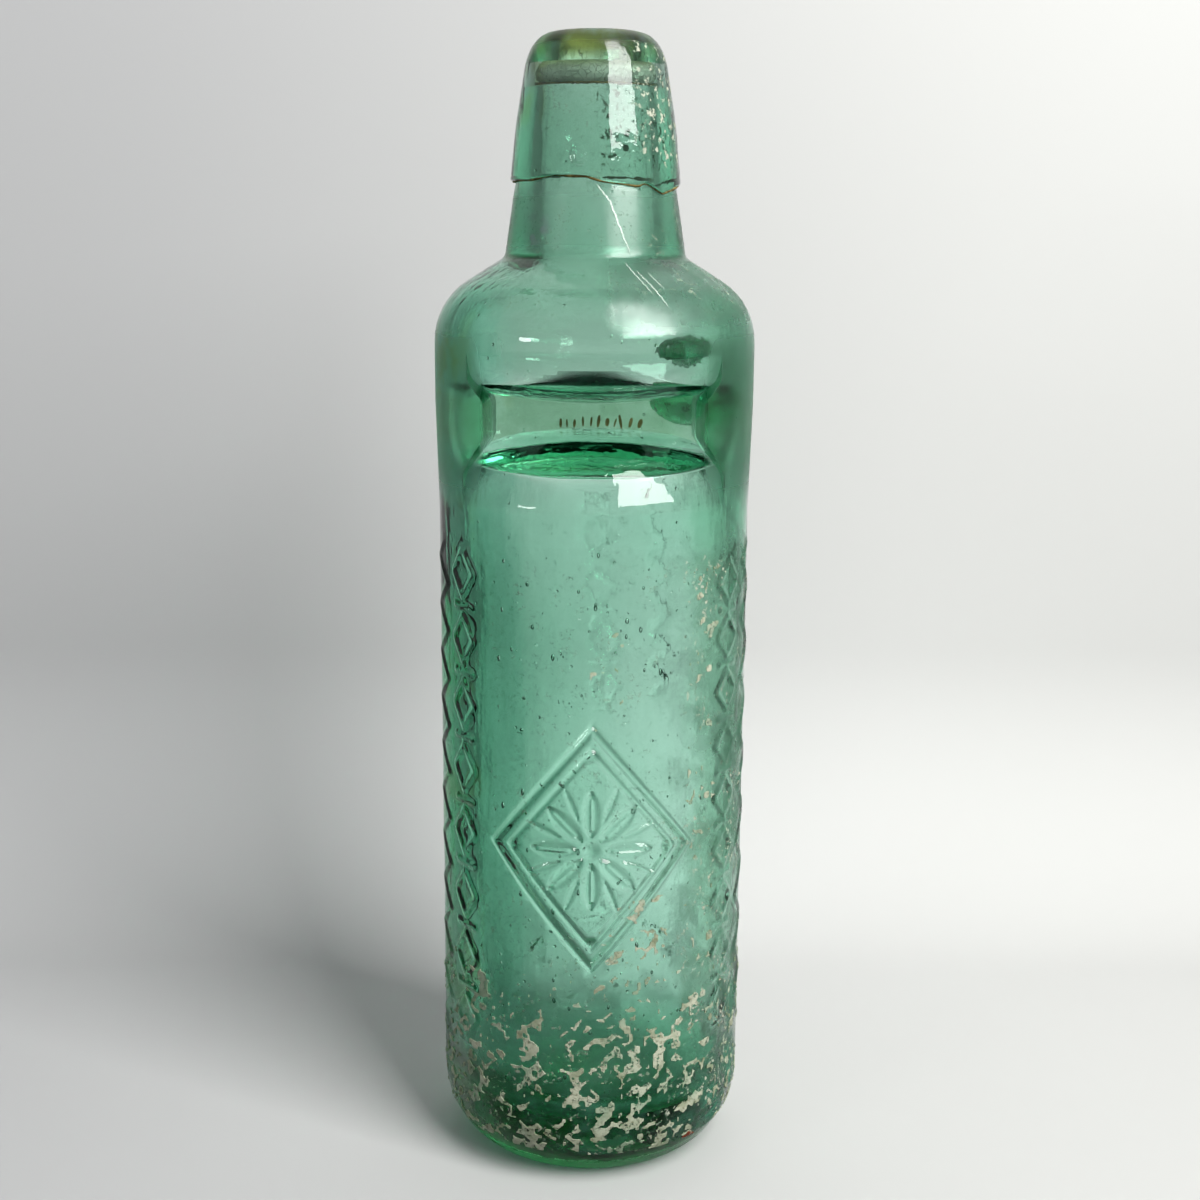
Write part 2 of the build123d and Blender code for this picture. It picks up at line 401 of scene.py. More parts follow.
# %% The inside's profile across the pinch, from the barrel up to the chamber
tip_z = 145.5
ledge_top_z = floor_top_z + ledge_tilt * (slot_half_width - pocket_floor) + pinch_wall / ledge_cosine
under_tilt, top_tilt = math.tan(math.radians(6)), math.tan(math.radians(5))
pinch_low, pinch_high = 136.0, 168.0
pinch_profile = stepped(
    rounded(
        [
            (barrel_bore, pinch_low),
            (barrel_bore, tip_z - under_tilt * (barrel_bore - slot_half_width)),
            (slot_half_width, tip_z),
            (slot_half_width, ledge_top_z),
            (chamber_radius, ledge_top_z + top_tilt * (chamber_radius - slot_half_width)),
            (chamber_radius, pinch_high),
        ],
        {1: 3.0, 2: 7.0, 3: pinch_wall, 4: 5.0},
        math.radians(9),
    ),
    0.9,
)
print("the pinch has", len(pinch_profile), "rows of points inside")

# %% The round stretches: the barrel with its base, and the shoulder, neck, lip and whole inside
carve_low, carve_high = dome_start_z - 4.3, bulb_start_z + 3.8
seam_gap = 1.2
segments = 128

barrel_top = carve_low - seam_gap
shoulder_bottom = carve_high + seam_gap
barrel_outline = foot_outline[:-1] + stepped([(body_radius, heel_height), (body_radius, barrel_top)], 1.36)
barrel = turned("barrel_outside", barrel_outline, segments)

waist_radius = neck_radius_at(lip_waist_z) + 1.65
lip_outline = rounded(
    [
        (neck_radius_at(lip_foot_z), lip_foot_z),
        (neck_radius_at(lip_foot_z) + 1.0, lip_foot_z),
        (waist_radius, lip_waist_z),
        (crown_radius, crown_z),
    ],
    {1: 0.5, 2: 40.0},
    math.radians(2),
)
crown_lean = (waist_radius - crown_radius) / (crown_z - lip_waist_z)
crown_rise = rim_z - crown_z
crown_pull = 0.55 * crown_rise
rim_radius = mouth_radius + rim_width
crown_handles = np.array([
    (crown_radius, crown_z),
    (crown_radius - crown_lean * crown_pull, crown_z + crown_pull),
    (rim_radius + 0.55 * (crown_radius - rim_radius), rim_z),
    (rim_radius, rim_z),
])
crown_arc = [
    tuple(np.array([(1 - t) ** 3, 3 * t * (1 - t) ** 2, 3 * t**2 * (1 - t), t**3]) @ crown_handles)
    for t in np.linspace(0, 1, 12)[1:]
]
rim_arc = [
    (mouth_radius + rim_width * math.cos(turn), rim_z - rim_width * (1 - math.sin(turn)))
    for turn in np.linspace(math.pi / 2, 0, 5)[1:]
]
throat_outline = [
    (mouth_radius, groove_top_z),
    (groove_radius, groove_top_z),
    (groove_radius, groove_floor_z),
    (neck_end_bore, groove_floor_z),
    *reversed(between(bore_outline[1:], pinch_high, neck_end_z)),
]
pinch_rows = [(float(radius_at(bore_outline[1:], z)), z) for _, z in reversed(pinch_profile)]
barrel_bore_outline = [(0, base_thickness), *between(bore_outline[1:], base_thickness, pinch_low)[1:]]
upper_outline = (
    stepped(between(wall_outline, shoulder_bottom, lip_foot_z), 1.3)
    + stepped(lip_outline, 1.1)[1:]
    + crown_arc
    + rim_arc
    + stepped([rim_arc[-1], *throat_outline], 1.6)[1:]
    + pinch_rows[1:]
    + stepped(barrel_bore_outline[::-1], 2.2)[1:]
)
upper = turned("shoulder_rim_inside", upper_outline, segments)
print("points:", {item.name: len(item.data.vertices) for item in (barrel, upper)})

# %% [markdown]
# ## Pressing the inside together
#
# The mould pinches the hot glass between two blunt tools, and the inside follows the tools at a wall's
# distance. So each row of the inside is pressed flat from the front and from the back, down to the slot
# that keeps the marble above it. The undersides are thick there, and from outside that thickness shows as a
# dark green lens below the pinch.

# %% Pressing the rows
def pressed(item):
    """Moves the inside's points forwards and back to the pinch profile, fading out towards the sides."""
    spots = points_of(item) / MM
    x, y, z = spots.T
    profile_y, profile_z = np.array(pinch_profile).T
    inner = (z > pinch_low) & (z < pinch_high) & (np.hypot(x, y) < chamber_radius + 0.2)
    bore = radius_at(bore_outline[1:], z)
    wanted = np.interp(z, profile_z, profile_y)
    spread = np.interp(z, [157.7, 162], [0, roof_spread])
    wanted = wanted + end_rise * np.maximum(np.abs(x) - (ledge_half_width + spread), 0) ** 2
    depth = np.abs(y)
    soft = end_soft * np.clip((bore - wanted) / end_soft, 0, 1) + 1e-6
    melted = np.maximum(soft - np.abs(depth - wanted), 0) / soft
    pushed = np.minimum(depth, wanted) - melted**2 * soft / 4
    spots[inner, 1] = (np.sign(y) * pushed)[inner]
    put_points(item, spots * MM)


ledge_half_width, end_rise, end_soft = 15.0, 0.02, 3.0
pressed(upper)

# %% [markdown]
# ## Carving the pockets
#
# What each tool leaves outside is a flat floor with a bulb of glass above it and a dome below. So the
# cutter is the tool's own shape: a waisted, tapering block, less the bulb and the dome that it doesn't
# touch. The tools never met quite level: the back one stood lower, so light passes both floors as seen from
# above.

# %% Cutters, and where the pinch's roof and shelf lie
def carve(item, cutter, operation="DIFFERENCE"):
    """Applies a boolean and throws the cutter away."""
    apply_modifier(item, "BOOLEAN", operation=operation, object=cutter, solver="EXACT")
    bpy.data.objects.remove(cutter)


def above_pinch(y):
    """The height of the pocket's roof at depth y."""
    return floor_top_z + ledge_tilt * (y - pocket_floor)


def below_pinch(y):
    """The height of the pocket's shelf at depth y."""
    return floor_bottom_z - ledge_tilt * (y - pocket_floor)


def block(name, corners, depth, spread=1.0):
    """A closed outline in the XZ plane, filled and extruded forwards (-Y), and widened there."""
    item = drawn(name, corners)
    bpy.ops.mesh.select_all(action="SELECT")
    bpy.ops.mesh.edge_face_add()
    bpy.ops.mesh.extrude_region_move(TRANSFORM_OT_translate={"value": (0, -depth * MM, 0)})
    bpy.ops.transform.resize(value=(spread, 1, 1), center_override=(0, 0, 0))
    return close_up(item)


def place(item, matrix):
    """Moves an object's mesh and leaves the object at the origin."""
    item.data.transform(matrix)
    item.data.update()
    return item


def copy_of(item, name):
    """A copy of an object with a mesh of its own."""
    twin = item.copy()
    twin.data = item.data.copy()
    twin.name = twin.data.name = name
    bpy.context.scene.collection.objects.link(twin)
    return twin


half_turn = Matrix.Rotation(math.pi, 4, "Z")

# %% The outside with its two pockets
reach = band_radius + 6
back_drop = 2.6
slab_low, slab_high = carve_low - 4, carve_high + 4
outside = turned(
    "pinch_outside",
    [(0, slab_low), *stepped(between(wall_outline, slab_low, slab_high), 2.0), (0, slab_high)],
    segments,
)
waist_ends = [
    (pocket_half_width + shelf_spread, dome_start_z - 2),
    (pocket_half_width + shelf_spread, pinch_z - pocket_waist - shelf_spread_height),
    (pocket_half_width, pinch_z - pocket_waist),
    (pocket_half_width, pinch_z + pocket_waist),
    (pocket_half_width + roof_spread, pinch_z + pocket_waist + roof_spread_height),
    (pocket_half_width + roof_spread, bulb_start_z + 2),
]
loop = waist_ends + [(-x, z) for x, z in reversed(waist_ends)]
loop = rounded(loop, {index: 2.5 for index in (1, 2, 3, 4, 7, 8, 9, 10)}, math.radians(20))
flare = 1 + pocket_flare * (reach - pocket_floor) / pocket_half_width
bulb_edge, dome_edge = band_radius + 0.25, body_radius + 0.25
above_slab, below_slab = slab_high + 6, slab_low - 6
bulb_outline = rounded(
    [(0, above_pinch(0)), (bulb_edge, above_pinch(bulb_edge)), (bulb_edge, above_slab), (0, above_slab)],
    {1: bulb_round},
    math.radians(4),
)
dome_outline = rounded(
    [(0, below_slab), (dome_edge, below_slab), (dome_edge, below_pinch(dome_edge)), (0, below_pinch(0))],
    {2: dome_round},
    math.radians(4),
)
for name, turn, drop in (("front", Matrix(), 0.0), ("back", half_turn, back_drop)):
    pocket = block(f"{name}_pocket", loop, reach - pocket_floor, flare)
    place(pocket, turn @ Matrix.Translation((0, -pocket_floor * MM, 0)))
    bulb = turned(f"{name}_bulb", bulb_outline, segments)
    dome = turned(f"{name}_dome", dome_outline, segments)
    place(dome, Matrix.Translation((0, 0, -drop * MM)))
    carve(pocket, bulb)
    carve(pocket, dome)
    carve(outside, pocket)
print("outside carved:", len(outside.data.polygons), "faces")

# %% Cut square where it joins the lathe's work
def trimmed(item, low, high):
    """Cuts a piece off flat below and above, and leaves it open there."""
    edit(item)
    for height, side in ((low, -1), (high, 1)):
        bpy.ops.mesh.select_all(action="SELECT")
        bpy.ops.mesh.bisect(plane_co=(0, 0, height * MM), plane_no=(0, 0, side), clear_outer=True)
    bpy.ops.object.mode_set(mode="OBJECT")
    return item


edit(outside)
bpy.ops.mesh.select_all(action="SELECT")
bpy.ops.mesh.remove_doubles(threshold=0.03 * MM)
bpy.ops.mesh.dissolve_degenerate(threshold=0.01 * MM)
trimmed(outside, carve_low, carve_high)
tell(outside)

# %% One skin
def bridge(item, low, high):
    """Closes the gap between two open rings of the outside, given their heights."""
    def on_ring(edge):
        """Whether an open edge lies on one of the two rings."""
        height = middle(edge).z
        return edge.is_boundary and min(abs(height - low * MM), abs(height - high * MM)) < seam_gap * MM / 3

    count = pick(item, "EDGE", on_ring)
    bpy.ops.mesh.bridge_edge_loops()
    return count


glass = only(barrel, upper, outside)
bpy.ops.object.join()
glass.name = glass.data.name = "bottle_glass"
edit(glass, "EDGE")
rings = [bridge(glass, barrel_top, carve_low), bridge(glass, carve_high, shoulder_bottom)]
close_up(glass)
print("bridged rings of", rings, "edges")
tell(glass)

# %% [markdown]
# ## Raised ornament
#
# What is cut into a bottle's mould stands proud of its barrel. Here that is plain ornament: a lozenge with
# a rosette in front, and columns of lozenges, bars and zigzags round the sides and the back. It is true
# relief, because glass shows a ridge by bending light, which paint can't do. The faces are only divided
# finely where ornament stands.

# %% A rosette in a lozenge, as heights over the unrolled barrel
frame_across, frame_up = 20.0, 24.0
ridge, ridge_height = 1.15, 0.34
highest_relief = 0.65


def swell(distance, half_width, height):
    """A rounded ridge: full height where the distance is nought, nothing beyond half a width."""
    share = np.clip(1 - np.abs(distance) / half_width, 0, 1)
    return height * share * share * (3 - 2 * share)


def rosette(s, u):
    """A lozenge frame round eight petals, a boss and four beads; s and u are measured from its middle."""
    slope = 1 / math.hypot(1 / frame_across, 1 / frame_up)
    rim = (np.abs(s) / frame_across + np.abs(u) / frame_up - 1) * slope
    height = swell(rim, ridge, highest_relief) + swell(rim + 2.7, 0.8, 0.45)
    reach_out, turn = np.hypot(s, u), np.arctan2(u, s)
    broad_petals, narrow_petals = (8, 2.6, 12.0, 2.4, highest_relief), (8, 6.0, 13.5, 0.9, 0.4)
    for count, start, end, width, lift in (broad_petals, narrow_petals):
        offset = 0 if width > 1 else math.pi / count
        lean = (turn + offset + math.pi / count) % (math.tau / count) - math.pi / count
        along = np.clip((reach_out - start) / (end - start), 0, 1)
        breadth = width * np.sin(math.pi * along) ** 0.7 + 0.01
        across = reach_out * np.sin(lean) / breadth
        height += np.where((along > 0) & (along < 1), swell(across, 1.0, lift), 0)
        if width > 1:
            height -= np.where(along > 0.15, swell(reach_out * np.sin(lean), 0.6, 0.4) * (along < 0.85), 0)
    height += swell(reach_out, 2.2, highest_relief)
    for bead_s, bead_u in ((15.4, 0), (-15.4, 0), (0, 18.8), (0, -18.8)):
        height += swell(np.hypot(s - bead_s, u - bead_u), 1.4, 0.6)
    return height

# %% Columns of ornament, and what stands where
def lozenges(s, z, width, pitch):
    """A column of lozenge outlines with a pair of bars between them."""
    u = z % pitch - pitch / 2
    tall = 0.36 * pitch
    slope = 1 / math.hypot(2 / width, 1 / tall)
    height = swell((np.abs(s) * 2 / width + np.abs(u) / tall - 1) * slope, ridge, ridge_height)
    inside = np.clip((width / 2 - np.abs(s)) / 0.4, 0, 1)
    for bar_u in (0.5 * pitch, -0.5 * pitch):
        height = height + inside * swell(u - bar_u, 1.1, ridge_height)
    return height


def zigzags(s, z, width, pitch):
    """A column of zigzags."""
    lean = np.abs((z / pitch) % 1 - 0.5) * 2
    return swell((s / width + 0.5 - (0.16 + 0.68 * lean)) * width * 0.66, ridge, ridge_height)


def band(kind, turn, low, high, width, pitch, lift=1.0):
    """One column of ornament: where it stands, what it shows and how much it is raised."""
    return kind, math.radians(turn) * body_radius, low, high, width, pitch, lift


rosette_z = 72.4
columns = [
    band(lozenges, -54, 26, 130.8, 7.2, 13.1),
    band(zigzags, -73, 24, 130.7, 9.0, 9.7),
    band(lozenges, 58, 30, 128.1, 7.0, 10.9),
    band(zigzags, 78, 26, 131.3, 9.6, 11.7),
    band(lozenges, 180, 84, 130, 7.0, 11.5, 1.6),
    band(zigzags, 153, 88, 129, 6.0, 8.2, 1.6),
    band(lozenges, 180, 34, 46, 8.0, 12.0, 1.6),
]


def from_column(turned_by, middle_at):
    """The distance along the unrolled barrel from a column's middle, the shorter way round."""
    girth = math.tau * body_radius
    return (turned_by * body_radius - middle_at + girth / 2) % girth - girth / 2


def ornament(turned_by, z):
    """The height of the ornament, in millimetres, at an angle from the front and a height."""
    height = rosette(turned_by * body_radius, z - rosette_z)
    for kind, middle_at, low, high, width, pitch, lift in columns:
        s = from_column(turned_by, middle_at)
        near = (np.abs(s) < width / 2 + 0.6) * np.clip(np.minimum(z - low, high - z) / 0.5, 0, 1)
        height = height + near * lift * kind(s, z - low, width, pitch)
    return np.minimum(height, highest_relief)

# %% Dividing the faces under the ornament, then raising it
margin = 1.3


def is_ornate(face, front):
    """Whether a face of the outer barrel lies under the rosette (front) or under a column."""
    spot = face.calc_center_median() / MM
    if not heel_height + 2 < spot.z < barrel_top - 1 or math.hypot(spot.x, spot.y) < body_radius - 1:
        return False
    turned_by = math.atan2(spot.x, -spot.y)
    if front:
        share = abs(turned_by * body_radius) / frame_across + abs(spot.z - rosette_z) / frame_up
        return share < 1 + margin / 15
    return any(
        abs(from_column(turned_by, middle_at)) < width / 2 + margin and low - 1 < spot.z < high + 1
        for kind, middle_at, low, high, width, pitch, lift in columns
    )


for front, cuts in ((True, 3), (False, 2)):
    divide(glass, cuts, lambda face: is_ornate(face, front))

skin = points_of(glass) / MM
turned_by = np.arctan2(skin[:, 0], -skin[:, 1])
radius = np.hypot(skin[:, 0], skin[:, 1])
on_barrel = (radius > body_radius - 0.3) & (skin[:, 2] > heel_height) & (skin[:, 2] < barrel_top - 0.5)
raised = (body_radius + ornament(turned_by, skin[:, 2])) / np.maximum(radius, 1)
skin[on_barrel, :2] *= raised[on_barrel, None]
put_points(glass, skin * MM)
highest = float(np.max(ornament(turned_by, skin[:, 2])))
print("skin", len(skin), "points, highest ornament", round(highest, 2), "mm")

# %% [markdown]
# ## Uneven glass
#
# Hand-worked glass is never quite even. The inside, which no mould touched, wavers by a few tenths of a
# millimetre, and the outside by less. Both are sums of slow waves in random directions, so light from
# behind comes through in soft streaks.

# %% Walls that waver
def waver(points, seed, count, longest, shortest, upright=0.45):
    """Slow random waves over points in millimetres, about -1 to 1."""
    chance = np.random.default_rng(seed)
    total = np.zeros(len(points))
    for _ in range(count):
        way = chance.normal(size=3) * (1, 1, upright)
        way *= math.tau / (chance.uniform(shortest, longest) * np.linalg.norm(way))
        total += np.sin(points @ way + chance.uniform(0, math.tau))
    return total / math.sqrt(count)


inner_waver, outer_waver, bore_shift = 0.16, 0.035, 1.9


def unsettle(item):
    """Moves the walls along their radius, the inside more than the outside, and the bore off centre."""
    spots = points_of(item) / MM
    x, y, z = spots.T
    radius = np.hypot(x, y)
    bore = radius_at(bore_outline[1:], z)
    inner = np.abs(radius - bore) < 0.6
    calm = np.interp(z, [11, 22, 128, 138, 172, 178, 196, 200], [0, 1, 1, 0, 0, 1, 1, 0])
    shift = inner_waver * waver(spots, 5, 14, 46, 16) * calm * inner
    calm_outside = np.interp(z, [0, 12, 128, 136, 172, 178, 222, 226], [0, 1, 1, 0, 0, 1, 1, 0])
    outer = (radius > bore + 1.5) & ~inner
    shift += outer_waver * waver(spots, 9, 16, 30, 9) * calm_outside * outer
    spots[:, :2] *= (1 + shift / np.maximum(radius, 5))[:, None]
    spots[:, 0] += bore_shift * np.interp(z, [12, 34, 112, 136], [0, 1, 1, 0]) * inner
    put_points(item, spots * MM)

# %% A lip that sags, with a chip out of it
def sag_of_lip(item):
    """The lip's foot runs unevenly round the neck, because the gather was laid on by hand."""
    turns = [-180, -100, -50, -28, -6, 5, 30, 35, 50, 70, 100, 180]
    rises = [0.5, 0.3, 0.2, 1.0, 0.8, -0.2, -0.9, -0.3, -2.2, -0.9, 0.2, 0.5]
    spots = points_of(item) / MM
    x, y, z = spots.T
    radius = np.hypot(x, y)
    turned_by = np.degrees(np.arctan2(x, -y))
    outer = radius > neck_radius_at(z) - 1.0
    share = np.interp(z, [lip_foot_z - 8, lip_foot_z - 0.2, lip_foot_z + 0.6, lip_waist_z + 4], [0, 1, 1, 0])
    rise = np.interp(turned_by, turns, rises) * share * outer
    below = z < lip_foot_z + 0.01
    lean = (neck_radius_at(z + rise) - neck_radius_at(z)) * below
    spots[:, 2] += rise
    spots[:, :2] *= (1 + lean / np.maximum(radius, 5))[:, None]
    put_points(item, spots * MM)


chip_turn, chip_z, chip_reach, chip_depth = math.radians(-11), lip_foot_z + 4.6, 2.1, 0.42
lip_radius = 18


def chip_out(item):
    """A shell-shaped chip in the lip: a shallow dish with ripples round the point that was struck."""
    def near(face):
        """Whether a face of the outside lies round the chip."""
        spot = face.calc_center_median() / MM
        turned_by = math.atan2(spot.x, -spot.y)
        outer = math.hypot(spot.x, spot.y) > neck_radius_at(spot.z)
        return outer and math.hypot((turned_by - chip_turn) * lip_radius, spot.z - chip_z) < chip_reach + 1.2

    divide(item, 4, near)
    spots = points_of(item) / MM
    x, y, z = spots.T
    radius = np.hypot(x, y)
    off = np.hypot((np.arctan2(x, -y) - chip_turn) * lip_radius, z - chip_z)
    dish = np.clip(1 - (off / chip_reach) ** 2, 0, 1)
    ripples = 0.07 * np.cos(off * 7.5) * np.clip(dish * 3, 0, 1)
    deep = (chip_depth * dish + ripples) * (radius > neck_radius_at(z))
    spots[:, :2] *= (1 - deep / np.maximum(radius, 5))[:, None]
    put_points(item, spots * MM)


unsettle(glass)
sag_of_lip(glass)
chip_out(glass)
print("largest radius", round(float(np.max(np.hypot(*points_of(glass).T[:2])) / MM), 2), "mm")

# %% [markdown]
# ## Seeds
#
# Gas that couldn't rise out of the stiff melt stayed in it as seeds. Each is a small closed surface whose
# faces look inwards, because the glass lies outside it and the air inside.

# %% Seeds: small bubbles shut in the wall
seed_bubble = fresh(bpy.ops.mesh.primitive_uv_sphere_add, "seed", segments=7, ring_count=4, radius=MM)
bpy.ops.object.mode_set(mode="EDIT")
bpy.ops.mesh.select_all(action="SELECT")
bpy.ops.mesh.flip_normals()
bpy.ops.object.mode_set(mode="OBJECT")
seed_count = 230
chance = random.Random(17)
bubbles = []
for _ in range(seed_count):
    z = chance.uniform(14, 130)
    turn = chance.gauss(0, 0.55) if chance.random() < 0.6 else chance.uniform(-math.pi, math.pi)
    deep = chance.uniform(27.5, 30.2)
    size = chance.choice((0.12, 0.16, 0.2, 0.26, 0.36))
    stretch = Matrix.Diagonal((size, size, size * chance.uniform(1, 2.2), 1))
    spot = Matrix.Translation((deep * math.sin(turn) * MM, -deep * math.cos(turn) * MM, z * MM))
    bubbles.append(place(copy_of(seed_bubble, "seed"), spot @ Matrix.Rotation(turn, 4, "Z") @ stretch))
bpy.data.objects.remove(seed_bubble)
only(glass, *bubbles)
bpy.ops.object.join()
tell(glass)

# %% [markdown]
# ## Glass
#
# Old bottle glass gets its green from iron in the sand. The colour isn't in the skin but in the depth: a
# thin wall looks pale, and the thick base looks like a deep pool. So the surface stays clear and the colour
# comes from a volume that swallows red most, blue less and green least, per millimetre that the light
# travels.

# %% Nodes, sums and masks
def node(tree, kind, inputs=None, **settings):
    """Adds a shader node, sets it, and fills or links its inputs."""
    made = tree.nodes.new(kind)
    for key, value in settings.items():
        setattr(made, key, value)
    for key, value in (inputs or {}).items():
        if isinstance(value, bpy.types.NodeSocket):
            tree.links.new(value, made.inputs[key])
        else:
            made.inputs[key].default_value = value
    return made


def math_node(tree, operation, *values, clamp=False):
    """Values folded together by one kind of sum, as a socket."""
    total = values[0]
    for value in values[1:]:
        made = node(tree, "ShaderNodeMath", {0: total, 1: value}, operation=operation)
        made.use_clamp = clamp
        total = made.outputs[0]
    return total


def times(tree, *values, clamp=False):
    """A product, as a socket: where all of several masks hold."""
    return math_node(tree, "MULTIPLY", *values, clamp=clamp)


def plus(tree, *values):
    """A sum, as a socket."""
    return math_node(tree, "ADD", *values)


def most(tree, *values):
    """The largest value, as a socket: where any of several masks holds."""
    return math_node(tree, "MAXIMUM", *values)


def ramp(tree, value, low, high, start=0.0, end=1.0):
    """A value mapped smoothly from one span to another, as a socket."""
    spans = {"Value": value, "From Min": low, "From Max": high, "To Min": start, "To Max": end}
    return node(tree, "ShaderNodeMapRange", spans, interpolation_type="SMOOTHSTEP").outputs[0]


def hill(tree, value, low, full, still_full, high):
    """A mask that rises from low to full and falls again from still_full to high, as a socket."""
    return times(tree, ramp(tree, value, low, full), ramp(tree, value, high, still_full))


def noise(tree, where, scale, detail=3.0, roughness=0.55, distortion=0.0):
    """Cloudy noise of features about 1/scale millimetres wide, as a socket."""
    inputs = {"Vector": where, "Scale": scale, "Detail": detail, "Roughness": roughness}
    return node(tree, "ShaderNodeTexNoise", {**inputs, "Distortion": distortion}).outputs[0]


def cells(tree, where, scale, **settings):
    """Distance in a pattern of random cells, as a socket."""
    inputs = {"Vector": where, "Scale": scale, "Randomness": 1.0}
    return node(tree, "ShaderNodeTexVoronoi", inputs, **settings).outputs[0]


def blend(tree, share, first, second):
    """A mix of two colours, as a socket."""
    made = node(tree, "ShaderNodeMix", {0: share}, data_type="RGBA")
    for slot, value in ((6, first), (7, second)):
        if isinstance(value, bpy.types.NodeSocket):
            tree.links.new(value, made.inputs[slot])
        else:
            made.inputs[slot].default_value = (*value, 1)
    return made.outputs[2]

# %% Groups, places on the bottle, and materials
NUMBER, COLOUR = "NodeSocketFloat", "NodeSocketColor"


def group(name, **outputs):
    """A new node group with named outputs; returns its tree and its output node."""
    tree = bpy.data.node_groups.new(name, "ShaderNodeTree")
    for key, kind in outputs.items():
        tree.interface.new_socket(name=key, in_out="OUTPUT", socket_type=kind)
    return tree, tree.nodes.new("NodeGroupOutput")


def millimetres(tree, spread=(1, 1, 1)):
    """Where a point lies on the bottle, in millimetres, as a socket; spread squeezes an axis."""
    spot = node(tree, "ShaderNodeTexCoord").outputs["Object"]
    scaled = {0: spot, 1: tuple(1000 * value for value in spread)}
    return node(tree, "ShaderNodeVectorMath", scaled, operation="MULTIPLY").outputs[0]


def around(tree, where):
    """Angle from the front in degrees, height and radius, as sockets."""
    x, y, z = node(tree, "ShaderNodeSeparateXYZ", {0: where}).outputs
    turn = math_node(tree, "ARCTAN2", x, times(tree, y, -1.0))
    squares = plus(tree, math_node(tree, "POWER", x, 2.0), math_node(tree, "POWER", y, 2.0))
    return times(tree, turn, math.degrees(1)), z, math_node(tree, "SQRT", squares, 0.0)


def material(name):
    """A new material with its tree, its Principled shader and its output."""
    made = bpy.data.materials.new(name)
    made.use_nodes = True
    tree = made.node_tree
    return made, tree, tree.nodes["Principled BSDF"], tree.nodes["Material Output"]


def finish(tree, shader, links, height, distance_mm):
    """Links a shader's inputs by name, and its normal to a bump of this height."""
    bump = node(tree, "ShaderNodeBump", {"Height": height, "Distance": distance_mm * MM, "Strength": 1.0})
    for key, value in {**links, "Normal": bump.outputs["Normal"]}.items():
        tree.links.new(value, shader.inputs[key])

# %% The volume's colour, from what a known thickness lets through
def absorption(through, thickness_mm):
    """Density per metre and colour for a volume that lets these shares of light through that thickness."""
    loss = [-math.log(share) / (thickness_mm * MM) for share in through]
    density = max(loss)
    return density, [1 - value / density for value in loss]


through_ten_mm = (0.375, 0.78, 0.59)
glass_density, glass_tint = absorption(through_ten_mm, 10.0)
print(f"density {glass_density:.0f} per metre, tint {[round(value, 2) for value in glass_tint]}")

# %% [markdown]
# ## Wear
#
# Damp ground etches glass. The right side and the foot went dull, the neck lost its polish, and small pits
# and stains are spread all over. Dirt inside darkens the chamber and the lip. A node group holds all this,
# because the same wear sets the roughness, the bumps and the stain, and a group keeps the three in step.

